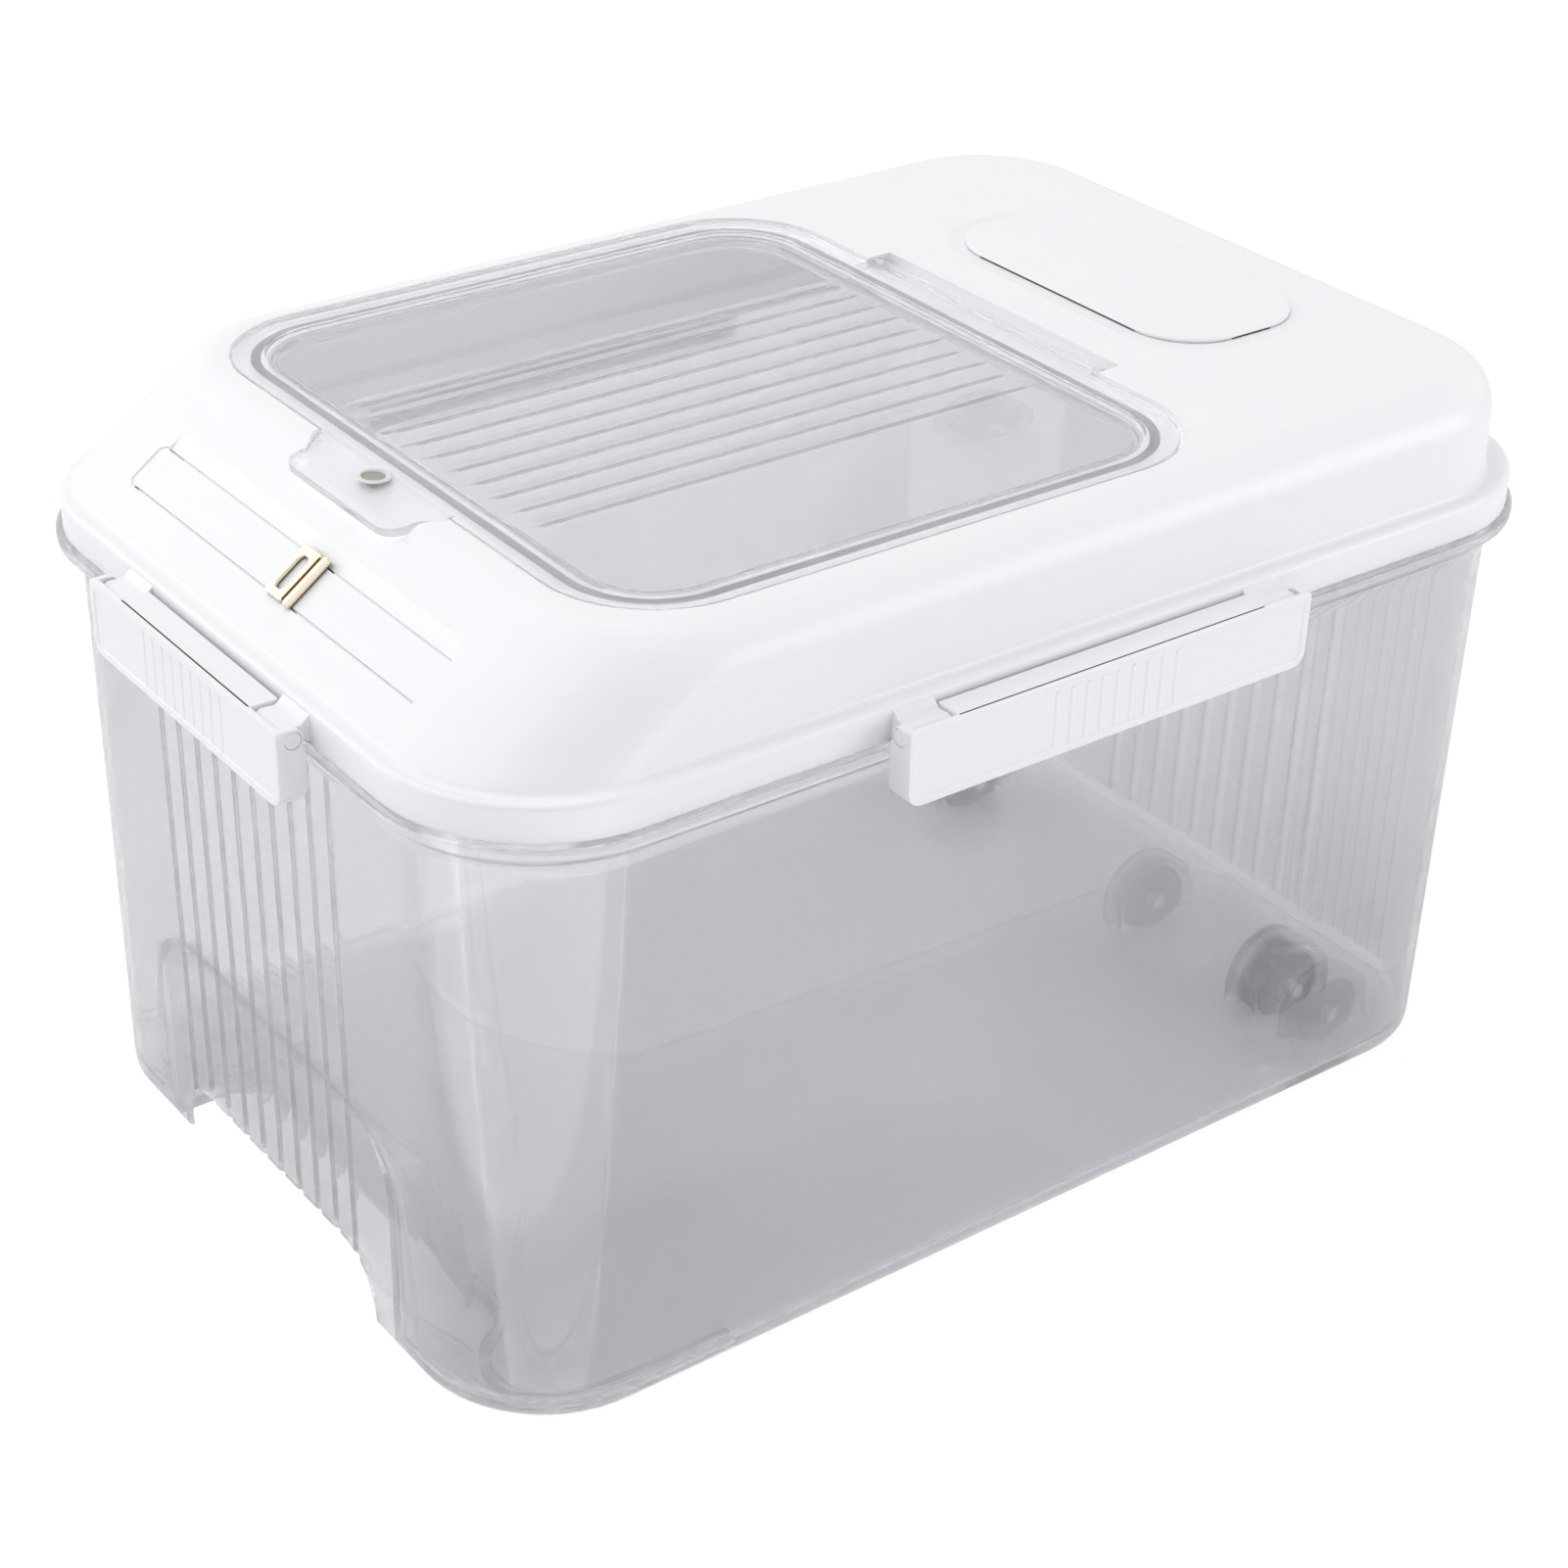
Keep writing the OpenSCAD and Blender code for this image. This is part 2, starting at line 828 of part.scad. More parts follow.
// Clip: framed plate with end walls, top ledge, hook under the rim and grip ribs
module clip(half) {
  face = clip_out;
  inner = clip_out - clip_t;
  frame_w = 2.5;
  frame_h = 0.4;
  hook_half = half - clip_end_t - lug_l - 6;
  notch = half - clip_end_t - lug_l - 2 * gap;
  nose = -pin_out - 2.7;
  rim_line = -pin_up + pin_out;
  slack = 0.57;
  hook_h = 4.6;
  color(white)
    difference() {
      union() {
        translate([inner, 0, 0])
          rotate([90, 0, 90])
            linear_extrude(clip_t)
              clip_outline(half, 0);
        intersection() {
          for (y = [0, 1])
            mirror([0, y, 0])
              translate([0, half, 0])
                rotate([90, 0, 0])
                  linear_extrude(clip_end_t) {
                    circle(clip_top);
                    translate([0, -clip_drop])
                      square([inner + clip_t / 2, clip_drop + clip_top]);
                    translate([clip_back, -clip_drop])
                      square([-clip_back + past, clip_drop - past]);
                  }
          translate([-clip_out, 0, 0])
            rotate([90, 0, 90])
              linear_extrude(2 * clip_out)
                clip_outline(half, 0);
        }
        translate([clip_back, -notch, clip_top - clip_t])
          cube([face - clip_back - clip_t / 2, 2 * notch, clip_t]);
        translate([0, hook_half, 0])
          rotate([90, 0, 0])
            linear_extrude(2 * hook_half)
              polygon([
                [inner + 0.5, -pin_up - slack],
                [-pin_out, -pin_up - slack],
                [nose, nose + rim_line - slack],
                [nose, nose + rim_line - slack - 0.8],
                [nose + 1, -pin_up - slack - hook_h],
                [inner + 0.5, -pin_up - slack - hook_h]
              ]);
      }
      for (y = [0, 1])
        mirror([0, y, 0])
          translate([0, half + past, 0])
            rotate([90, 0, 0])
              cylinder(r = head_r + run_fit, h = clip_end_t + 2 * past);
      difference() {
        translate([face - frame_h, 0, 0])
          rotate([90, 0, 90])
            linear_extrude(frame_h + past)
              clip_outline(half, frame_w);
        grip_ribs(face - frame_h, frame_h);
      }
    }
}

// Grip ribs on the face of a clip
module grip_ribs(face, h) {
  pitch = 5.5;
  count = 9;
  for (i = [0 : count - 1])
    translate([face, (i - (count - 1) / 2) * pitch, -clip_drop])
      cylinder(r = h, h = clip_drop + clip_top);
}

// Stepped pins of one clip: head in the end wall, shaft in the lug
module clip_pins(half) {
  color(pin_white)
    for (y = [0, 1])
      mirror([0, y, 0])
        translate([0, half, 0])
          rotate([90, 0, 0]) {
            cylinder(r = head_r, h = clip_end_t);
            cylinder(r = shaft_r, h = clip_end_t + gap + lug_l - 2);
          }
}

module clip_front() {
  at_clip("front")
    clip(clip_end);
}

module clip_rear() {
  at_clip("rear")
    clip(clip_end);
}

module clip_left() {
  at_clip("left")
    clip(clip_side);
}

module clip_right() {
  at_clip("right")
    clip(clip_side);
}

module clip_pins_front() {
  at_clip("front")
    clip_pins(clip_end);
}

module clip_pins_rear() {
  at_clip("rear")
    clip_pins(clip_end);
}

module clip_pins_left() {
  at_clip("left")
    clip_pins(clip_side);
}

module clip_pins_right() {
  at_clip("right")
    clip_pins(clip_side);
}

// Wheel: two discs on a narrower core, turning on its axle
module wheel(side) {
  color(wheel_grey)
    at_wheel(side)
      rotate([0, 90, 0])
        rotate_extrude()
          difference() {
            translate([axle_r + run_fit, -wheel_w / 2])
              square([wheel_r - axle_r - run_fit, wheel_w]);
            translate([wheel_r - groove_d, -wheel_w / 2 + disc_t])
              square([groove_d + past, wheel_w - 2 * disc_t]);
          }
}

module wheel_axle(side) {
  half = well_w + well_t + boss_h - 1.7;
  color(pin_white)
    at_wheel(side)
      translate([-half, 0, 0])
        rotate([0, 90, 0])
          cylinder(r = axle_r, h = 2 * half);
}

module wheel_left() {
  wheel(-1);
}

module wheel_right() {
  wheel(1);
}

module wheel_axle_left() {
  wheel_axle(-1);
}

module wheel_axle_right() {
  wheel_axle(1);
}

bin_body();
lid_shell();
lid_seal();
window_flap();
window_seal();
flap_buffer();
window_hinge_pin_left();
window_hinge_pin_right();
date_slider();
clip_front();
clip_rear();
clip_left();
clip_right();
clip_pins_front();
clip_pins_rear();
clip_pins_left();
clip_pins_right();
wheel_left();
wheel_right();
wheel_axle_left();
wheel_axle_right();
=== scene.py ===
import math

import bmesh
import bpy
from mathutils import Matrix, Vector


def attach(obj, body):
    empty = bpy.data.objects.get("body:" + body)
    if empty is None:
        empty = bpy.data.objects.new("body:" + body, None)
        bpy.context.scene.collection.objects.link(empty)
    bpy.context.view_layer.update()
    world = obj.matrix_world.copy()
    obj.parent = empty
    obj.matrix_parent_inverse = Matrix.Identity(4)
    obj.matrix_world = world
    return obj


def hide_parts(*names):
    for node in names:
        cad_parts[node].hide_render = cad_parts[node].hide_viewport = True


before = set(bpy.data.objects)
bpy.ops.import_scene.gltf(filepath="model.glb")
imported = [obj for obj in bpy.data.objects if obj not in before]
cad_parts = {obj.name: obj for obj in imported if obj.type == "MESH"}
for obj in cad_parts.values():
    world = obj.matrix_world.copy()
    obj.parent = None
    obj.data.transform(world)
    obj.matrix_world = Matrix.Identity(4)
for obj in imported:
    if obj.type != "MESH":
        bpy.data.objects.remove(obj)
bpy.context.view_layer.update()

# The camera stands before the front right corner, a little above, with a long lens.
# Its place was fitted to the outlines of rim, skirt, window and bottom edge in the photograph.
CAMERA_AZIMUTH = 52.49
CAMERA_ELEVATION = 30.51
CAMERA_ROLL = 1.74
CAMERA_TARGET = Vector((-0.0043, 0.0007, 0.0939))
CAMERA_DISTANCE = 1.0166
CAMERA_LENS = 72.28


def aim_camera():
    azimuth, elevation = math.radians(CAMERA_AZIMUTH), math.radians(CAMERA_ELEVATION)
    back = Vector((
        math.sin(azimuth) * math.cos(elevation),
        -math.cos(azimuth) * math.cos(elevation),
        math.sin(elevation),
    ))
    level = Vector((math.cos(azimuth), math.sin(azimuth), 0))
    upright = back.cross(level)
    roll = math.radians(CAMERA_ROLL)
    right = math.cos(roll) * level + math.sin(roll) * upright
    up = math.cos(roll) * upright - math.sin(roll) * level
    turn = Matrix((right, up, back)).transposed().to_4x4()
    data = bpy.data.cameras.new("camera")
    data.lens = CAMERA_LENS
    data.sensor_width = 36
    data.clip_end = 50
    camera = bpy.data.objects.new("camera", data)
    camera.matrix_world = Matrix.Translation(CAMERA_TARGET + back * CAMERA_DISTANCE) @ turn
    bpy.context.scene.collection.objects.link(camera)
    bpy.context.scene.camera = camera


aim_camera()


# The studio is a white sweep: a pale floor, a large soft lamp overhead and two at the sides.
# What the camera, gloss and clear plastic see round the bin is plain white. The floor's front part
# glows for mirrored rays only, a painted reflection: a tall soft patch on the bin's front corner.
def paint(name):
    material = bpy.data.materials.new(name)
    material.use_nodes = True
    tree = material.node_tree
    return material, tree, tree.nodes["Principled BSDF"], tree.nodes["Material Output"]


def link(tree, source, target):
    tree.links.new(source, target)


def cloudy(tree, low, high, scale):
    noise = tree.nodes.new("ShaderNodeTexNoise")
    noise.inputs["Scale"].default_value = scale
    ramp = tree.nodes.new("ShaderNodeValToRGB")
    ramp.color_ramp.elements[0].color = (*low, 1)
    ramp.color_ramp.elements[1].color = (*high, 1)
    link(tree, noise.outputs["Fac"], ramp.inputs[0])
    return ramp.outputs[0]


def soft_lamp(name, place, aim, size, watts):
    data = bpy.data.lights.new(name, "AREA")
    data.shape = "RECTANGLE"
    data.size, data.size_y = size
    data.energy = watts
    lamp = bpy.data.objects.new(name, data)
    lamp.location = place
    lamp.rotation_euler = (Vector(aim) - Vector(place)).to_track_quat("-Z", "Y").to_euler()
    bpy.context.scene.collection.objects.link(lamp)


def white_world():
    world = bpy.data.worlds.new("white_sweep")
    bpy.context.scene.world = world
    world.use_nodes = True
    tree = world.node_tree
    lit = tree.nodes["Background"]
    lit.inputs["Color"].default_value = (0.97, 0.98, 1.0, 1)
    lit.inputs["Strength"].default_value = 0.62
    seen = tree.nodes.new("ShaderNodeBackground")
    seen.inputs["Strength"].default_value = 1.0
    seen.inputs["Color"].default_value = (1, 1, 1, 1)
    path = tree.nodes.new("ShaderNodeLightPath")
    clear = tree.nodes.new("ShaderNodeMath")
    clear.operation = "MAXIMUM"
    link(tree, path.outputs["Is Camera Ray"], clear.inputs[0])
    link(tree, path.outputs["Is Transmission Ray"], clear.inputs[1])
    bright = tree.nodes.new("ShaderNodeMath")
    bright.operation = "MAXIMUM"
    link(tree, clear.outputs[0], bright.inputs[0])
    link(tree, path.outputs["Is Glossy Ray"], bright.inputs[1])
    mix = tree.nodes.new("ShaderNodeMixShader")
    link(tree, bright.outputs[0], mix.inputs[0])
    link(tree, lit.outputs[0], mix.inputs[1])
    link(tree, seen.outputs[0], mix.inputs[2])
    link(tree, mix.outputs[0], tree.nodes["World Output"].inputs[0])


# Painted reflection: beyond this line, 0.3 m out towards the front right, the floor glows for mirrored
# rays.
PAINTED_GLINT_WAY = (0.57, -0.82, 0)
PAINTED_GLINT_EDGE = 0.3


def floor_plane():
    bm = bmesh.new()
    bmesh.ops.create_grid(bm, x_segments=8, y_segments=8, size=6)
    mesh = bpy.data.meshes.new("floor")
    bm.to_mesh(mesh)
    floor = bpy.data.objects.new("floor", mesh)
    bpy.context.scene.collection.objects.link(floor)
    material, tree, body, out = paint("floor_paper")
    link(tree, cloudy(tree, (0.96, 0.96, 0.965), (0.975, 0.975, 0.98), 3), body.inputs["Base Color"])
    body.inputs["Roughness"].default_value = 0.95
    body.inputs["Specular IOR Level"].default_value = 0.1
    glow = tree.nodes.new("ShaderNodeEmission")
    glow.inputs["Color"].default_value = (1, 1, 1, 1)
    glow.inputs["Strength"].default_value = 1.05
    path = tree.nodes.new("ShaderNodeLightPath")
    share = tree.nodes.new("ShaderNodeMath")
    share.operation = "MULTIPLY"
    share.inputs[1].default_value = 0.86
    link(tree, path.outputs["Is Camera Ray"], share.inputs[0])
    mix = tree.nodes.new("ShaderNodeMixShader")
    link(tree, share.outputs[0], mix.inputs[0])
    link(tree, body.outputs[0], mix.inputs[1])
    link(tree, glow.outputs[0], mix.inputs[2])
    spot = tree.nodes.new("ShaderNodeTexCoord")
    toward = tree.nodes.new("ShaderNodeVectorMath")
    toward.operation = "DOT_PRODUCT"
    toward.inputs[1].default_value = PAINTED_GLINT_WAY
    link(tree, spot.outputs["Object"], toward.inputs[0])
    near = tree.nodes.new("ShaderNodeMapRange")
    near.inputs["From Min"].default_value = PAINTED_GLINT_EDGE - 0.005
    near.inputs["From Max"].default_value = PAINTED_GLINT_EDGE + 0.005
    link(tree, toward.outputs["Value"], near.inputs["Value"])
    mirrored = tree.nodes.new("ShaderNodeMath")
    mirrored.operation = "SUBTRACT"
    mirrored.use_clamp = True
    link(tree, path.outputs["Is Glossy Ray"], mirrored.inputs[0])
    link(tree, path.outputs["Is Transmission Ray"], mirrored.inputs[1])
    lit = tree.nodes.new("ShaderNodeMath")
    lit.operation = "MULTIPLY"
    link(tree, near.outputs[0], lit.inputs[0])
    link(tree, mirrored.outputs[0], lit.inputs[1])
    # Painted reflection: a glow seen only by mirrored rays, its strength rising from 1.8 to 3.4 along X.
    painted_reflection_glow = tree.nodes.new("ShaderNodeEmission")
    painted_reflection_glow.inputs["Color"].default_value = (1, 1, 1, 1)
    split = tree.nodes.new("ShaderNodeSeparateXYZ")
    link(tree, spot.outputs["Object"], split.inputs[0])
    rise = tree.nodes.new("ShaderNodeMapRange")
    rise.inputs["From Min"].default_value = -0.1
    rise.inputs["From Max"].default_value = 0.4
    rise.inputs["To Min"].default_value = 1.8
    rise.inputs["To Max"].default_value = 3.4
    link(tree, split.outputs["X"], rise.inputs["Value"])
    link(tree, rise.outputs[0], painted_reflection_glow.inputs["Strength"])
    whole = tree.nodes.new("ShaderNodeMixShader")
    link(tree, lit.outputs[0], whole.inputs[0])
    link(tree, mix.outputs[0], whole.inputs[1])
    link(tree, painted_reflection_glow.outputs[0], whole.inputs[2])
    link(tree, whole.outputs[0], out.inputs["Surface"])
    mesh.materials.append(material)


white_world()
floor_plane()
soft_lamp("lamp_over", (-0.3, -0.5, 1.9), (0, 0, 0.15), (1.8, 1.8), 14)
soft_lamp("lamp_front", (-1.6, -1.4, 0.8), (0, 0, 0.1), (1.4, 1.2), 10)
soft_lamp("lamp_right", (1.65, 1.45, 0.55), (0, 0, 0.12), (1.4, 1.0), 13)


# Bin body: clear plastic with a faint grey tint, moulded in one piece. It is skinned over
# rounded rings in millimetres, from the foot over the rim and the sealing lip to the floor.
CORNER_X = 85.2
CORNER_Y = 149
FOOT_R = 42.4
WALL_T = 2.5
FLOOR_Z = 4
FRONT_Y = -CORNER_Y - FOOT_R
FLUTES = 10
FLUTE_PITCH = 11
FLUTE_HALF = 2
FLUTE_DEPTH = 0.8
WHEEL_X = 84
AXLE_Y = 146
AXLE_Z = 13


def oval(w, front, rear, r, z, ends=10, sides=14, corner=14):
    """Rounded rectangle in plan, as points; ends is a count or the x places along front and rear."""
    points = []
    inner = w - r
    xs = [inner * (2 * i / ends - 1) for i in range(1, ends)] if isinstance(ends, int) else ends
    ys = [i / sides for i in range(1, sides)]
    centres = ((inner, rear - r), (-inner, rear - r), (-inner, front + r), (inner, front + r))
    for turn, (x, y) in enumerate(centres):
        for i in range(corner + 1):
            a = math.radians(90 * (turn + i / corner))
            points.append((x + r * math.cos(a), y + r * math.sin(a), z))
        if turn == 0:
            points += [(x, rear, z) for x in reversed(xs)]
        elif turn == 1:
            points += [(-w, rear - r + (front + 2 * r - rear) * t, z) for t in ys]
        elif turn == 2:
            points += [(x, front, z) for x in xs]
        else:
            points += [(w, front + r + (rear - front - 2 * r) * t, z) for t in ys]
    return points


def skin(rings, loop=False):
    """Closed mesh over rings of equal length; the ends are capped unless the rings form a loop."""
    bm = bmesh.new()
    rows = [[bm.verts.new(p) for p in ring] for ring in rings]
    count = len(rows[0])
    for k in range(len(rows) if loop else len(rows) - 1):
        low, high = rows[k], rows[(k + 1) % len(rows)]
        for i in range(count):
            j = (i + 1) % count
            bm.faces.new((low[i], low[j], high[j], high[i]))
    if not loop:
        bm.faces.new(reversed(rows[0]))
        bm.faces.new(rows[-1])
    bmesh.ops.recalc_face_normals(bm, faces=bm.faces)
    return bm


def solid(name, bm, turn=None):
    """Object in metres from a mesh in millimetres, moved by turn first."""
    if turn:
        bm.transform(turn)
    bm.transform(Matrix.Scale(0.001, 4))
    mesh = bpy.data.meshes.new(name)
    bm.to_mesh(mesh)
    bm.free()
    thing = bpy.data.objects.new(name, mesh)
    bpy.context.scene.collection.objects.link(thing)
    return thing


def settle(thing):
    """Applies the modifiers of a piece to its mesh."""
    bpy.context.view_layer.update()
    seen = thing.evaluated_get(bpy.context.evaluated_depsgraph_get())
    mesh = bpy.data.meshes.new_from_object(seen)
    thing.modifiers.clear()
    thing.data = mesh


def carve(thing, tools, way="DIFFERENCE"):
    """Joins or cuts a piece with each tool in turn, and deletes the tool."""
    for tool in tools:
        cut = thing.modifiers.new("carve", "BOOLEAN")
        cut.operation = way
        cut.solver = "EXACT"
        cut.object = tool
        settle(thing)
        bpy.data.objects.remove(tool)


def soften(thing, width, steps=2, angle=35):
    edge = thing.modifiers.new("soft_edges", "BEVEL")
    edge.width = width / 1000
    edge.segments = steps
    edge.limit_method = "ANGLE"
    edge.angle_limit = math.radians(angle)
    settle(thing)


def join(name, things):
    """One object from several."""
    bm = bmesh.new()
    for thing in things:
        bm.from_mesh(thing.data)
        bpy.data.objects.remove(thing)
    mesh = bpy.data.meshes.new(name)
    bm.to_mesh(mesh)
    bm.free()
    whole = bpy.data.objects.new(name, mesh)
    bpy.context.scene.collection.objects.link(whole)
    return whole


def place(thing, body, slot, material, nodes, angle=35):
    """Finishes a piece: smooth faces with sharp creases, its material, its body and its CAD nodes."""
    thing.data.shade_smooth()
    thing.data.set_sharp_from_angle(angle=math.radians(angle))
    flat = thing.modifiers.new("flat_faces_stay_flat", "WEIGHTED_NORMAL")
    flat.keep_sharp = True
    flat.weight = 80
    settle(thing)
    thing.data.materials.clear()
    thing.data.materials.append(material)
    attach(thing, body)
    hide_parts(*nodes)


def clear_plastic(name, tint, roughness, plain=0.5):
    """Glass mixed with a plain tinted share, so that thin edges stay grey instead of black."""
    material, tree, body, out = paint(name)
    colour = cloudy(tree, [c * 0.99 for c in tint], tint, 6)
    link(tree, colour, body.inputs["Base Color"])
    body.inputs["Transmission Weight"].default_value = 1
    body.inputs["Roughness"].default_value = roughness
    body.inputs["IOR"].default_value = 1.42
    clear = tree.nodes.new("ShaderNodeBsdfTransparent")
    link(tree, colour, clear.inputs["Color"])
    path = tree.nodes.new("ShaderNodeLightPath")
    share = tree.nodes.new("ShaderNodeMath")
    share.operation = "MAXIMUM"
    share.inputs[1].default_value = plain
    link(tree, path.outputs["Is Shadow Ray"], share.inputs[0])
    mix = tree.nodes.new("ShaderNodeMixShader")
    link(tree, share.outputs[0], mix.inputs[0])
    link(tree, body.outputs[0], mix.inputs[1])
    link(tree, clear.outputs[0], mix.inputs[2])
    link(tree, mix.outputs[0], out.inputs["Surface"])
    return material


def flute_middles():
    return [(i - (FLUTES - 1) / 2) * FLUTE_PITCH for i in range(FLUTES)]


def flute_places():
    """x places along the front and rear walls, close together at the flutes."""
    xs = [-80, -70, -62]
    for middle in flute_middles():
        xs += [middle + step for step in (-4.9, -2, -1.5, -1, -0.5, 0, 0.5, 1, 1.5, 2)]
    return xs + [54, 62, 70, 80]


def wall_ring(r, z, fluted=False):
    """Ring of the bin about the shared corner centres, with flutes sunk in from front and rear."""
    points = oval(CORNER_X + r, -CORNER_Y - r, CORNER_Y + r, r, z, flute_places(), 14)
    if not fluted:
        return points
    ring = []
    for x, y, height in points:
        off = min(abs(x - middle) for middle in flute_middles())
        if abs(x) < CORNER_X and abs(y) > CORNER_Y and off < FLUTE_HALF:
            y -= math.copysign(FLUTE_DEPTH * (0.5 + 0.5 * math.cos(math.pi * off / FLUTE_HALF)), y)
        ring.append((x, y, height))
    return ring


def bin_shell():
    rings = []
    for i in range(6):
        a = math.radians(90 * i / 5)
        rings.append(wall_ring(FOOT_R - 4 + 4 * math.sin(a), FLOOR_Z + 4 - 4 * math.cos(a)))
    for r, z in ((42.5, 14), (43, 75), (43.6, 140), (44, 185)):
        rings.append(wall_ring(r, z, True))
    for r, z in ((44.3, 187.6), (45.2, 189.6), (46.8, 191.4)):
        rings.append(wall_ring(r, z))
    for r, z in ((48.6, 192.8), (50.1, 193.9), (50.8, 194.7), (51, 195.6), (51, 196.8), (50.8, 197.4)):
        rings.append(wall_ring(r, z))
    for r, z in ((50.3, 197.7), (45, 197.7), (44.3, 197.9), (44, 198.6), (44, 202.6), (43.6, 203.3)):
        rings.append(wall_ring(r, z))
    for r, z in ((43, 203.5), (42.2, 203.4), (41.6, 202.8), (41.5, 190)):
        rings.append(wall_ring(r, z))
    for r, z in ((41.4, 183), (41.1, 140), (40.5, 75), (40, 12)):
        rings.append(wall_ring(r, z))
    for i in range(1, 6):
        a = math.radians(90 * i / 5)
        rings.append(wall_ring(35 + 5 * math.cos(a), FLOOR_Z + WALL_T + 5 - 5 * math.sin(a)))
    return solid("bin_clear", skin(rings))


def hood_curve(w, depth, corner, foot, y, z):
    """Plan curve of the hood at one height: flared foot at the wall, side, rounded corner, back."""
    foot = min(foot, 0.4 * depth)
    corner = min(corner, 0.6 * depth)
    half = []
    for i in range(7):
        a = math.radians(90 * i / 6)
        half.append((w + foot - foot * math.sin(a), foot - foot * math.cos(a)))
    for i in range(9):
        a = math.radians(90 * i / 8)
        half.append((w - corner + corner * math.cos(a), depth - corner + corner * math.sin(a)))
    left = [(-x, y + d, z) for x, d in half]
    right = [(x, y + d, z) for x, d in reversed(half)]
    return left + right


def hood(inset, foot, wall):
    """Soft bulge over the hand recess, open below; wall is how far its mesh starts before it."""
    width, deep, high, top_r = 70, 30, 76, 26
    arch = (deep * deep + high * high) / (2 * deep)
    rings = []
    heights = [-2, 8, 18, 28, 38, 46, 54, 60, 65, 69, 72, 74, 75.3]
    if inset == 0:
        heights = [1.5] + heights[1:] + [75.9]
    for h in heights:
        rise = max(h, 0)
        depth = max(deep - arch + math.sqrt(arch * arch - rise * rise) - inset, 0.6 - inset / 5)
        over = max(rise - (high - top_r), 0)
        w = width - inset - top_r + math.sqrt(top_r * top_r - over * over)
        y = FRONT_Y + WALL_T - 0.0085 * h
        ring = hood_curve(w, depth, 14 - inset, foot, y, FLOOR_Z + h)
        x = w + foot + 0.5
        rings.append([(-x, y - wall, FLOOR_Z + h)] + ring + [(x, y - wall, FLOOR_Z + h)])
    return solid("hood", skin(rings))


def mouth():
    """Arched cutter for the opening in the front wall."""
    outline = [(-59, -3), (-59, 5)]
    for i in range(1, 11):
        a = math.radians(90 * i / 10)
        outline.append((-41 - 18 * math.cos(a), 5 + 18 * math.sin(a)))
    outline += [(-x, z) for x, z in reversed(outline)]
    rings = [[(x, FRONT_Y + y, FLOOR_Z + z) for x, z in outline] for y in (-3, WALL_T + 1.5)]
    return solid("mouth", skin(rings))


def arch(half, r, foot, at, bevel):
    """Arched block about a wheel's axle line."""
    outline = [(-r, foot)]
    for i in range(25):
        a = math.radians(180 - 180 * i / 24)
        outline.append((r * math.cos(a), r * math.sin(a)))
    outline.append((r, foot))
    rings = [[(at + x, AXLE_Y + y, AXLE_Z + z) for y, z in outline] for x in (-half, half)]
    block = solid("arch", skin(rings))
    soften(block, bevel, 3)
    return block


def revolved(profile, turn, count=32):
    """Closed body of revolution about Z from (radius, height) points."""
    rings = []
    for r, h in profile:
        rings.append([
            (r * math.cos(2 * math.pi * i / count), r * math.sin(2 * math.pi * i / count), h)
            for i in range(count)
        ])
    return solid("turned", skin(rings), turn)


def foot_rib(side):
    """Soft S-shaped rib under the floor."""
    route = [(54, -156.4), (76, -157.4), (86, -174.4), (107, -174.4), (117, -160.4), (118, -108.4)]
    for _ in range(2):
        cut = [route[0]]
        for (ax, ay), (bx, by) in zip(route, route[1:]):
            cut.append((0.75 * ax + 0.25 * bx, 0.75 * ay + 0.25 * by))
            cut.append((0.25 * ax + 0.75 * bx, 0.25 * ay + 0.75 * by))
        route = cut + [route[-1]]
    left, right = [], []
    for i, (x, y) in enumerate(route):
        ahead, behind = route[min(i + 1, len(route) - 1)], route[max(i - 1, 0)]
        dx, dy = ahead[0] - behind[0], ahead[1] - behind[1]
        size = math.hypot(dx, dy)
        left.append((side * (x - 1.5 * dy / size), y + 1.5 * dx / size))
        right.append((side * (x + 1.5 * dy / size), y - 1.5 * dx / size))
    outline = left + right[::-1]
    return solid("foot_rib", skin([[(x, y, z) for x, y in outline] for z in (0, 5.2)]))


def axle_frame(side):
    """Middle of one wheel, with Z along its axle."""
    turn = Matrix.Rotation(math.radians(90), 4, "Y")
    return Matrix.Translation((side * WHEEL_X, AXLE_Y, AXLE_Z)) @ turn


def bin_body():
    body = bin_shell()
    carve(body, [hood(0, 5, 1.2)], "UNION")
    for side in (-1, 1):
        pod = arch(8.2, 17.2, -7.8, side * WHEEL_X, 1.6)
        boss = revolved([(4.4, -11.2), (5, -10.4), (5, 10.4), (4.4, 11.2)], axle_frame(side), 6)
        carve(body, [pod, boss, foot_rib(side)], "UNION")
    carve(body, [hood(WALL_T, 1, 0.05), mouth()])
    for side in (-1, 1):
        bore = revolved([(2.53, -9.7), (2.53, 9.7)], axle_frame(side))
        carve(body, [arch(6, 15, -12, side * WHEEL_X, 1), bore])
    return body


clear_smoke = clear_plastic("clear_smoke", (0.91, 0.909, 0.921), 0.03, 0.3)
place(bin_body(), "bin", "clear_smoke", clear_smoke, ["bin_body"], 30)


# Wheels: dark grey twin discs with a groove between them, each moulded in one piece.
# They run on plain pins that are pressed into hexagonal bosses on the cheeks of the wells.
def dull_plastic(name, low, high, roughness, metallic=0.0):
    material, tree, body, out = paint(name)
    link(tree, cloudy(tree, low, high, 60), body.inputs["Base Color"])
    body.inputs["Roughness"].default_value = roughness
    body.inputs["Metallic"].default_value = metallic
    return material


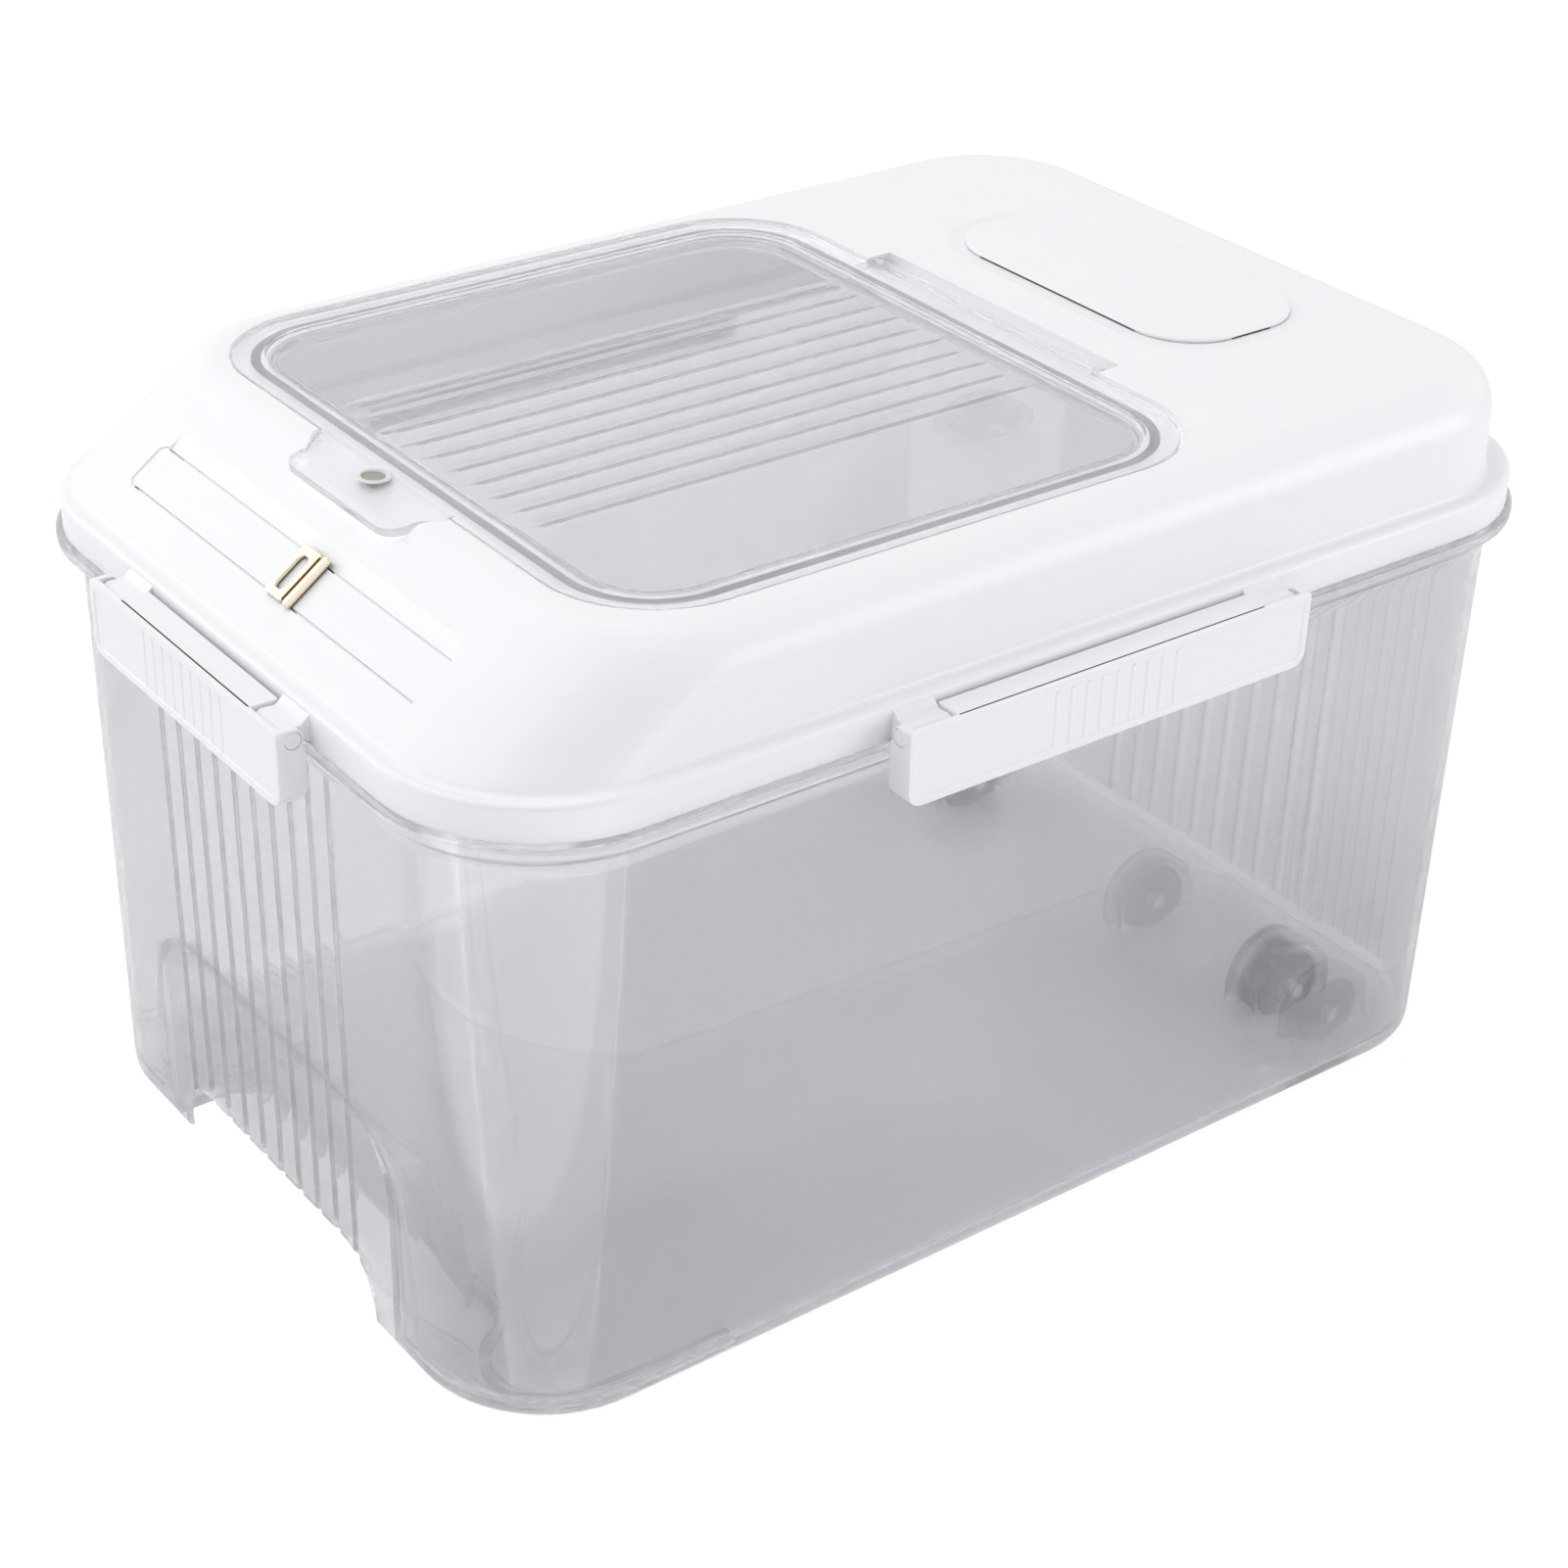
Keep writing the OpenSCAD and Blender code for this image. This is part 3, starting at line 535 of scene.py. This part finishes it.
wheel_grey = dull_plastic("wheel_grey", (0.075, 0.075, 0.085), (0.1, 0.1, 0.11), 0.3)
pin_plastic = dull_plastic("pin_plastic", (0.7, 0.71, 0.73), (0.78, 0.785, 0.8), 0.3)
disc = [(2.6, -5), (6, -5), (6.6, -4.4), (9, -4.2), (11.6, -4.4), (12.2, -5), (12.7, -4.8), (13, -4.2)]
disc += [(13, -2.4), (12.7, -1.9), (10.8, -1.7), (10.6, -1.3)]
disc += [(r, -h) for r, h in reversed(disc)]
for side, name in ((-1, "left"), (1, "right")):
    at = axle_frame(side)
    wheel = revolved(disc, at, 48)
    hole = revolved([(2.58, -7), (2.58, 7)], at)
    carve(wheel, [hole])
    wheel.name = "wheel_" + name + "_grey"
    place(wheel, name + "_wheel", "wheel_grey", wheel_grey, ["wheel_" + name], 30)
    axle = revolved([(2.1, -9.5), (2.5, -9.1), (2.5, 9.1), (2.1, 9.5)], at)
    axle.name = "axle_" + name + "_pin"
    place(axle, "bin", "pin_plastic", pin_plastic, ["wheel_axle_" + name], 30)


# Lid: white moulded shell, skinned over rings from the skirt over the ledge and the soft dome
# to the window's bed and hole, then back along the inside. The front of the dome slopes down.
SLOPE = math.atan2(31.6, 42.9)
TOP_Z = 243
LEDGE_Z = 209.4
CROWN_OUT, CROWN_UP, CROWN_FRONT = 14.5, 14, 12
FLAP_Z = 240.2


def slope_y(z, inset=0.0):
    """Front face of the dome at height z, running into the top in an arc."""
    plain = -191.9 + (z - 211.4) / math.tan(SLOPE) + inset / math.sin(SLOPE)
    r = CROWN_FRONT - inset
    centre_y = -149 + CROWN_FRONT * math.tan(SLOPE / 2)
    centre_z = TOP_Z - CROWN_FRONT
    if z > centre_z + r * math.cos(SLOPE):
        return centre_y - math.sqrt(max(r * r - (z - centre_z) ** 2, 0))
    return plain


def dome_ring(z, out, inset=0.0):
    """Ring round the dome; out is how far its side stands in from the widest place."""
    r = 44 - out
    return oval(85.6 + r, slope_y(z, inset), 144 + r, r, z)


def skirt_ring(r, z):
    return oval(CORNER_X + r, -CORNER_Y - r, CORNER_Y + r, r, z)


def lid_rings():
    rings = [skirt_ring(r, z) for r, z in ((46.9, 198.2), (48.5, 198.2), (48.9, 198.6), (48.9, 206.6))]
    for i in range(1, 6):
        a = math.radians(90 * i / 5)
        rings.append(skirt_ring(46.7 + 2.2 * math.cos(a), LEDGE_Z - 2.2 + 2.2 * math.sin(a)))
    for i in range(5):
        a = math.radians(90 * i / 4)
        out, z = 1.8 - 1.8 * math.sin(a), LEDGE_Z + 1.8 - 1.8 * math.cos(a)
        front = -195.9 + 3.34 * (i / 4) + 0.4 * math.sin(math.pi * i / 4)
        rings.append(oval(129.6 + out, front, 188 + out, 44 + out, z))
    for z in (214, 219, 224):
        rings.append(dome_ring(z, (z - 211.2) * 0.03))
    base = (TOP_Z - CROWN_UP - 211.2) * 0.03
    for i in range(13):
        a = math.radians(90 * i / 12)
        out = base + (CROWN_OUT - base) * (1 - math.cos(a))
        rings.append(dome_ring(TOP_Z - CROWN_UP + CROWN_UP * math.sin(a), out))
    rings.append(oval(115, -144.9, 150, 30, TOP_Z))
    rings.append(oval(114.9, -144.8, 100, 32, TOP_Z))
    rings.append(oval(114.7, -144.75, 68.2, 35, TOP_Z))
    rings.append(oval(114.35, -144.45, 67.85, 34.65, TOP_Z - 0.12))
    rings.append(oval(114.2, -144.3, 67.7, 34.5, TOP_Z - 0.5))
    rings.append(oval(114.2, -144.3, 67.7, 34.5, 240.1))
    rings.append(oval(114, -144.1, 67.5, 34.3, 239.9))
    bed = [(5, 239.9), (5, 237.9), (2, 237.9), (2, 239.9), (0.5, 239.9)]
    bed += [(0.1, 239.7), (0, 239.3), (0, 235.9)]
    for grow, z in bed:
        rings.append(oval(103.1 + grow, -133.2 - grow, 55.6 + grow, 23.4 + grow, z))
    rings.append(oval(114.4, -144.5, 81, 34, 235.9))
    rings.append(oval(114.4, -144.5, 81, 34, 240.5))
    for i in range(9):
        a = math.radians(90 - 90 * i / 8)
        out = 2.4 + base + (CROWN_OUT - base - 2.4 + 2.2) * (1 - math.cos(a))
        rings.append(dome_ring(TOP_Z - CROWN_UP + (CROWN_UP - 2.4) * math.sin(a), out, 2.4))
    rings.append(dome_ring(213.5, 2.45, 2.4))
    rings.append(oval(127.1, -187.6, 185.6, 41.6, 211))
    for r, z in ((38.5, 209.3), (38.5, 199.2), (40.7, 199.2), (40.7, 207), (46.7, 207), (46.7, 198.4)):
        rings.append(skirt_ring(r, z))
    return rings


def plate(outline, low, high, turn=None):
    """Flat piece from an outline of (x, y) points."""
    return solid("plate", skin([[(x, y, z) for x, y in outline] for z in (low, high)]), turn)


def rounded(w, front, rear, r, corner=8):
    return [(x, y) for x, y, z in oval(w, front, rear, r, 0, 2, 2, corner)]


DROOP = math.radians(9)
TAB = Matrix.Translation((0, -143.8, FLAP_Z)) @ Matrix.Rotation(DROOP, 4, "X")
STRIP = (
    Matrix.Translation((0, -149 - 33.6 * math.cos(SLOPE), TOP_Z - 33.6 * math.sin(SLOPE)))
    @ Matrix.Rotation(SLOPE, 4, "X")
)
SLOTS = (-7.75, 6.9)


def tab_outline(grow):
    """Plan of the lifting tab: soft flares at its root, rounded outer corners."""
    half = []
    flare, w, long, r = 5, 29.5 + grow, 16.4 + grow, 7 + grow
    half.append((w + flare, 2))
    for i in range(9):
        half.append((w + flare * (0.5 + 0.5 * math.cos(math.pi * i / 8)), -0.2 - 8.4 * i / 8))
    for i in range(8):
        a = math.radians(90 * i / 7)
        half.append((w - r + r * math.cos(a), -long + r - r * math.sin(a)))
    return half + [(-x, y) for x, y in reversed(half)]


def dish_cutter():
    """Tool for the shallow dish with the plaque standing in it."""
    dish = [(6.5, 244.2), (6.2, 243.05), (5.2, 242.85), (4.2, 242.62)]
    dish += [(3.2, 242.5), (0, 242.5), (0, 244.2)]
    rings = []
    for grow, z in dish:
        rings.append(oval(58 + grow, 99 - grow, 157 + grow, 21 + grow, z, 10, 4, 12))
    return solid("dish", skin(rings, loop=True))


def strip_cutters():
    """Two thin slots joined by a shallow groove at their left end."""
    low, high = SLOTS
    tools = []
    for v in SLOTS:
        tools.append(plate(rounded(78, v - 0.35, v + 0.35, 0.3), -7, 3, STRIP))
    groove = [(-70, low - 0.35), (-79, low - 0.35), (-81.4, low + 1.6), (-81.4, high - 1.6)]
    groove += [(-79, high + 0.35), (-70, high + 0.35), (-70, high - 0.3), (-77.6, high - 0.3)]
    groove += [(-77.9, high - 0.6), (-77.9, low + 0.6), (-77.6, low + 0.3), (-70, low + 0.3)]
    tools.append(plate(groove, -0.45, 3, STRIP))
    return tools


def wedge_cutter():
    """Shallow bed above the upper slot, deepest at the slot and running out up the slope."""
    low, top = SLOTS[1] + 0.1, SLOTS[1] + 6.3
    outline = [(low, -1), (low + 0.8, -0.95), (top, -0.05), (top, 2), (low, 2)]
    rings = []
    for x, lift in ((-78, 0.9), (-77.4, 0.3), (-76, 0), (75, 0), (77, 0.3), (78, 0.9)):
        rings.append([(x, v, w + (lift if w < 0 else 0)) for v, w in outline])
    return solid("wedge", skin(rings), STRIP)


def lid_shell():
    lid = solid("lid_white", skin(lid_rings(), loop=True))
    profile = [(-143, 236), (-157.4, 236), (-153.5, 239.2), (-147, 242), (-143, 239.8)]
    block = solid("tab_block", skin([[(x, y, z) for y, z in profile] for x in (-37, 37)]))
    carve(lid, [block], "UNION")
    channel = plate(tab_outline(0.5), -0.3, 12, TAB)
    pocket = plate(rounded(55.5, 62, 76.5, 1.2), 237.7, 246)
    carve(lid, [channel, pocket, dish_cutter()])
    carve(lid, strip_cutters() + [wedge_cutter()])
    return lid


def plaque():
    rings = []
    for inset, z in ((0, 241), (0, 243.3), (0.25, 243.75), (0.8, 244), (4, 244)):
        rings.append(oval(58 - inset, 99 + inset, 157 - inset, 21 - inset, z, 10, 4, 12))
    return solid("plaque", skin(rings))


def clip_frame(name):
    """Frame of a clip: x away from the bin, z up, from the middle of its pin line."""
    turn = {"right": 0, "rear": 90, "left": 180, "front": 270}[name]
    out = 140.6 if name in ("left", "right") else 204.4
    return Matrix.Rotation(math.radians(turn), 4, "Z") @ Matrix.Translation((out, 0, 203))


def clip_half(name):
    return 73 if name in ("left", "right") else 54


def lugs(name):
    """Two knuckles that run level out of the ledge and hold the clip's pins."""
    made = []
    outline = [(-9, -5), (-9, 5.7), (-7.8, 5.5), (-6.9, 4.9), (-6.1, 4.1)]
    outline += [(-5.3, 3.4), (-4.5, 2.7), (-3.7, 2.25), (-1.4, 2.4)]
    for i in range(9):
        a = math.radians(90 - 180 * i / 8)
        outline.append((2.45 * math.cos(a), 2.45 * math.sin(a)))
    outline.append((-4.2, -2.5))
    for side in (-1, 1):
        far = clip_half(name) - 2.8
        rings = [[(x, side * y, z) for x, z in outline] for y in (far - 14, far)]
        lug = solid("lug", skin(rings), clip_frame(name))
        soften(lug, 0.5)
        made.append(lug)
    return made


def white_plastic():
    material, tree, body, out = paint("white_plastic")
    link(tree, cloudy(tree, (0.86, 0.868, 0.885), (0.885, 0.89, 0.9), 14), body.inputs["Base Color"])
    grain = tree.nodes.new("ShaderNodeTexNoise")
    grain.inputs["Scale"].default_value = 1400
    bump = tree.nodes.new("ShaderNodeBump")
    bump.inputs["Strength"].default_value = 0.015
    bump.inputs["Distance"].default_value = 0.0003
    link(tree, grain.outputs["Fac"], bump.inputs["Height"])
    link(tree, bump.outputs[0], body.inputs["Normal"])
    body.inputs["Roughness"].default_value = 0.34
    body.inputs["IOR"].default_value = 1.46
    return material


SIDES = ("front", "rear", "left", "right")
white = white_plastic()
lid = lid_shell()
knuckles = [lug for name in SIDES for lug in lugs(name)]
lid = join("lid_white", [lid, plaque()] + knuckles)
place(lid, "lid", "white_plastic", white, ["lid_shell"], 32)


# Seals: milky silicone rings, one on the bin's lip and one under the border of the window.
# Both are the plain CAD rings with a soft clear finish.
silicone = clear_plastic("silicone", (0.9, 0.9, 0.92), 0.5)
for name in ("lid_seal", "window_seal"):
    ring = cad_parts[name]
    ring.data.materials.clear()
    ring.data.materials.append(silicone)


# Window flap: clear plate with a raised border, a ribbed panel, a collar that enters the hole,
# a hinge barrel at the rear and a drooping tab in front, all one moulding.
BUTTON = TAB @ Matrix.Translation((0, -3.2, 0)) @ Matrix.Rotation(-DROOP, 4, "X")


def flap_ring(inset, z):
    return oval(113.7 - inset, -143.8 + inset, 66.2 - inset, 34 - inset, z)


def flap_plate():
    border = [(1, 240.2), (0.3, 240.3), (0, 240.7), (0, 242.2), (0.2, 242.6), (0.7, 242.8)]
    pane = [(9.7, 242.8), (9.95, 242.65), (10.1, 242.15), (10.35, 242), (12, 242)]
    return solid("window_clear", skin([flap_ring(inset, z) for inset, z in border + pane]))


def window_flap():
    flap = flap_plate()
    collar = []
    for inset, z in ((11.6, 240.6), (11.6, 237), (11.9, 236.6), (13.1, 236.6), (13.3, 237), (13.3, 240.6)):
        collar.append(flap_ring(inset, z))
    ribs = []
    for i in range(10):
        x = (i - 4.5) * 10.5
        rings = []
        for y, deep in ((-130, 0.03), (-124, 0.25), (-117, 0.45), (38, 0.45), (45, 0.25), (51, 0.03)):
            ring = [(x + 3.4, y, 240.6), (x - 3.4, y, 240.6)]
            for k in range(11):
                u = k / 5 - 1
                ring.append((x + 3.4 * u, y, 240.22 - deep * (0.5 + 0.5 * math.cos(math.pi * u))))
            rings.append(ring)
        ribs.append(solid("rib", skin(rings)))
    tab = plate(tab_outline(0), 0, 2.6, TAB)
    soften(tab, 0.6, 3)
    barrel_at = Matrix.Translation((0, 70.7, 240.4)) @ Matrix.Rotation(math.radians(90), 4, "Y")
    barrel = revolved([(2, -54.5), (2.4, -54.1), (2.4, 54.1), (2, 54.5)], barrel_at, 24)
    leaf = plate(rounded(54.3, 60, 71, 0.4), 240.25, 242.75)
    carve(flap, [solid("collar", skin(collar, loop=True)), tab, leaf, barrel] + ribs, "UNION")
    plug = revolved([(2.43, -2), (2.43, 5)], BUTTON, 24)
    carve(flap, [plug])
    return flap


clear_window = clear_plastic("clear_window", (0.925, 0.929, 0.938), 0.02, 0.3)
place(window_flap(), "window", "clear_flap", clear_window, ["window_flap"], 30)


# Buffer in the tab: a small silicone button with a raised whitish rim and a brownish middle.
# Its stem is pressed through a hole in the tab and shows through the clear plastic.
def tab_button():
    head = [(2.1, 0.05), (2.4, 0.3), (2.4, 2.62), (4.7, 2.62), (4.9, 2.8), (4.8, 3.1)]
    head += [(4.4, 3.35), (4, 3.4), (3.7, 3.3), (3.5, 3), (3.4, 2.75), (1, 2.7)]
    button = revolved(head, BUTTON, 40)
    button.name = "tab_button"
    return button


def button_rubber():
    """Whitish at the rim, brownish grey within 3.4 mm of the middle."""
    material, tree, body, out = paint("button_rubber")
    spot = tree.nodes.new("ShaderNodeTexCoord")
    away = tree.nodes.new("ShaderNodeVectorMath")
    away.operation = "DISTANCE"
    away.inputs[1].default_value = tuple(c / 1000 for c in (TAB @ Vector((0, -3.2, 2.7))))
    link(tree, spot.outputs["Object"], away.inputs[0])
    rim = tree.nodes.new("ShaderNodeMapRange")
    rim.inputs["From Min"].default_value = 0.0033
    rim.inputs["From Max"].default_value = 0.0037
    link(tree, away.outputs["Value"], rim.inputs["Value"])
    mix = tree.nodes.new("ShaderNodeMix")
    mix.data_type = "RGBA"
    link(tree, rim.outputs[0], mix.inputs["Factor"])
    mix.inputs["A"].default_value = (0.42, 0.4, 0.36, 1)
    mix.inputs["B"].default_value = (0.87, 0.86, 0.86, 1)
    link(tree, mix.outputs["Result"], body.inputs["Base Color"])
    body.inputs["Roughness"].default_value = 0.3
    body.inputs["Transmission Weight"].default_value = 0.2
    return material


place(tab_button(), "window", "silicone", button_rubber(), ["flap_buffer"], 40)


# Hinge pins: two short plain plastic pins at the rear corners of the window.
# Each sits half in the wall of the lid's pocket and half in the end of the window's barrel.
for side, name in ((-1, "left"), (1, "right")):
    at = Matrix.Translation((side * 55, 70.7, 240.4)) @ Matrix.Rotation(math.radians(90), 4, "Y")
    pin = revolved([(1, -4.5), (1.2, -4.2), (1.2, 4.2), (1, 4.5)], at, 20)
    pin.name = "hinge_pin_" + name
    place(pin, "lid", "pin_plastic", pin_plastic, ["window_hinge_pin_" + name], 30)


# Date slider: a small gilded frame that rides on the strip, with legs hooked into the slots.
# Its plate is bevelled and pierced by a window, with a round bead along its right side.
SLIDER_X = 8


def date_slider():
    block = plate(rounded(4.3, -8.3, 8.6, 1), 0.3, 1.9, Matrix.Translation((-1.55, 0, 0)))
    hole = plate(rounded(2.4, -5.7, 5.7, 1.8), -1, 3, Matrix.Translation((-1.6, 0, 0)))
    carve(block, [hole])
    soften(block, 0.4, 3)
    bead = []
    for y, r in ((-8.4, 1.1), (-8.1, 1.45), (8.3, 1.45), (8.8, 1.1)):
        ring = []
        for k in range(15):
            a = math.radians(24 * k)
            ring.append((5.8 + r * math.cos(a), y, 1.3 + r * math.sin(a)))
        bead.append(ring)
    web = plate(rounded(1.5, -8, 8, 0.2), 0.3, 0.6, Matrix.Translation((3.6, 0, 0)))
    parts = [block, solid("bead", skin(bead)), web]
    for v in SLOTS:
        out = math.copysign(1, v)
        parts.append(plate(rounded(5.6, v - 0.25, v + 0.25, 0.15), -3.6, 0.6))
        parts.append(plate(rounded(5.6, min(v, v + out), max(v, v + out), 0.15), -3.6, -2.9))
    slider = join("date_slider_gold", parts)
    seat = STRIP @ Matrix.Translation((SLIDER_X, 0, 0))
    slider.data.transform(Matrix.Scale(0.001, 4) @ seat @ Matrix.Scale(1000, 4))
    return slider


def pale_gold():
    """Champagne gilding with painted brown shade below about 1 mm over the strip: in the groove and the
    window's walls.
    """
    material, tree, body, out = paint("gold")
    spot = tree.nodes.new("ShaderNodeTexCoord")
    rise = tree.nodes.new("ShaderNodeVectorMath")
    rise.operation = "DOT_PRODUCT"
    rise.inputs[1].default_value = STRIP.to_3x3() @ Vector((0, 0, 1))
    link(tree, spot.outputs["Object"], rise.inputs[0])
    foot = (STRIP @ Vector((0, 0, 0))).dot(STRIP.to_3x3() @ Vector((0, 0, 1))) / 1000
    # Painted shade: below 0.6 mm over the strip the gilding is dark brown, blending to gold by 1 mm.
    deep = tree.nodes.new("ShaderNodeMapRange")
    deep.inputs["From Min"].default_value = foot + 0.0006
    deep.inputs["From Max"].default_value = foot + 0.001
    link(tree, rise.outputs["Value"], deep.inputs["Value"])
    mix = tree.nodes.new("ShaderNodeMix")
    mix.data_type = "RGBA"
    link(tree, deep.outputs[0], mix.inputs["Factor"])
    mix.inputs["A"].default_value = (0.16, 0.09, 0.04, 1)
    link(tree, cloudy(tree, (0.9, 0.79, 0.58), (0.95, 0.86, 0.68), 60), mix.inputs["B"])
    link(tree, mix.outputs["Result"], body.inputs["Base Color"])
    body.inputs["Roughness"].default_value = 0.2
    body.inputs["Metallic"].default_value = 1.0
    return material


place(date_slider(), "slider", "gold", pale_gold(), ["date_slider"], 30)


# Clips: white levers with a raised border, grip ribs, end walls with round ears, a top ledge
# between the lugs and a hook that catches the bin's rim. Each turns on two stepped pins.
def clip_outline(half, inset):
    """Outline seen from outside, as (y, z): small upper and large lower corners."""
    points = []
    for turn, r in ((0, 1), (1, 1), (2, 5), (3, 5)):
        r = max(r - inset, 0.6)
        y = (half - inset - r) * (1 if turn in (0, 3) else -1)
        z = 3.3 - inset - r if turn < 2 else -19.8 + inset + r
        for i in range(9):
            a = math.radians(90 * (turn + i / 8))
            points.append((y + r * math.cos(a), z + r * math.sin(a)))
    return points


def pin_frame(name, side):
    """Outer end of one pin, with Z inwards along the pin line."""
    turn = Matrix.Rotation(math.radians(90 * side), 4, "X")
    return clip_frame(name) @ Matrix.Translation((0, side * clip_half(name), 0)) @ turn


def clip(name):
    half, at = clip_half(name), clip_frame(name)
    steps = [(0.5, 2.8), (0, 3.1), (0, 4.4), (0.15, 4.85), (0.6, 5)]
    steps += [(2.2, 5), (2.5, 4.85), (2.7, 4.6), (3.5, 4.6)]
    face = [[(x, y, z) for y, z in clip_outline(half, inset)] for inset, x in steps]
    parts = [solid("face", skin(face), at)]
    for i in range(9):
        y = (i - 4) * 5.5
        ridge = []
        for k in range(7):
            a = math.radians(-90 + 180 * k / 6)
            ridge.append((4.55 + 0.4 * math.cos(a), y + 0.75 * math.sin(a)))
        rib = solid("rib", skin([[(x, v, z) for x, v in ridge] for z in (-16.8, 0.3)]), at)
        parts.append(rib)
    wall = [(3.6, 3.3)]
    for i in range(11):
        a = math.radians(90 + 110 * i / 10)
        wall.append((3.3 * math.cos(a), 3.3 * math.sin(a)))
    wall += [(-3.9, -4), (-3.9, -15), (-2.6, -18), (0.5, -19.6), (3.6, -19.6)]
    for side in (-1, 1):
        ear = [[(x, side * y, z) for x, z in wall] for y in (half - 2.5, half - 0.02)]
        end = solid("end", skin(ear), at)
        soften(end, 0.45)
        outer = [[(x, y, z) for y, z in clip_outline(half + 0.01, 0)] for x in (-9, 9)]
        carve(end, [solid("outer", skin(outer), at)], "INTERSECT")
        carve(end, [revolved([(2.62, -4), (2.62, 4)], pin_frame(name, side))])
        parts.append(end)
    notch = half - 17.1
    section = ((-5.4, 1.1), (4, 1.1), (4, 3.3), (-5.4, 3.3))
    ledge = [[(x, y, z) for x, z in section] for y in (-notch, notch)]
    top = solid("ledge", skin(ledge), at)
    soften(top, 0.4)
    hook = [(3.3, -9.07), (-4.4, -9.07), (-7.1, -11.77), (-7.1, -12.57), (-6.1, -13.67), (3.3, -13.67)]
    grip = solid("hook", skin([[(x, y, z) for x, z in hook] for y in (-half + 22.5, half - 22.5)]), at)
    soften(grip, 0.3)
    lever = join("clip_" + name + "_white", parts + [top, grip])
    place(lever, name + "_clip", "white_plastic", white, ["clip_" + name], 32)


def clip_pins(name):
    made = []
    for side in (-1, 1):
        pin = [(2.2, 0), (2.5, 0.25), (2.5, 2.5), (1.4, 2.5), (1.4, 14.5)]
        made.append(revolved(pin, pin_frame(name, side)))
    pins = join("clip_pins_" + name + "_white", made)
    place(pins, "lid", "pin_plastic", white, ["clip_pins_" + name], 30)


for name in SIDES:
    clip(name)
    clip_pins(name)

bpy.context.scene.view_settings.view_transform = "Standard"
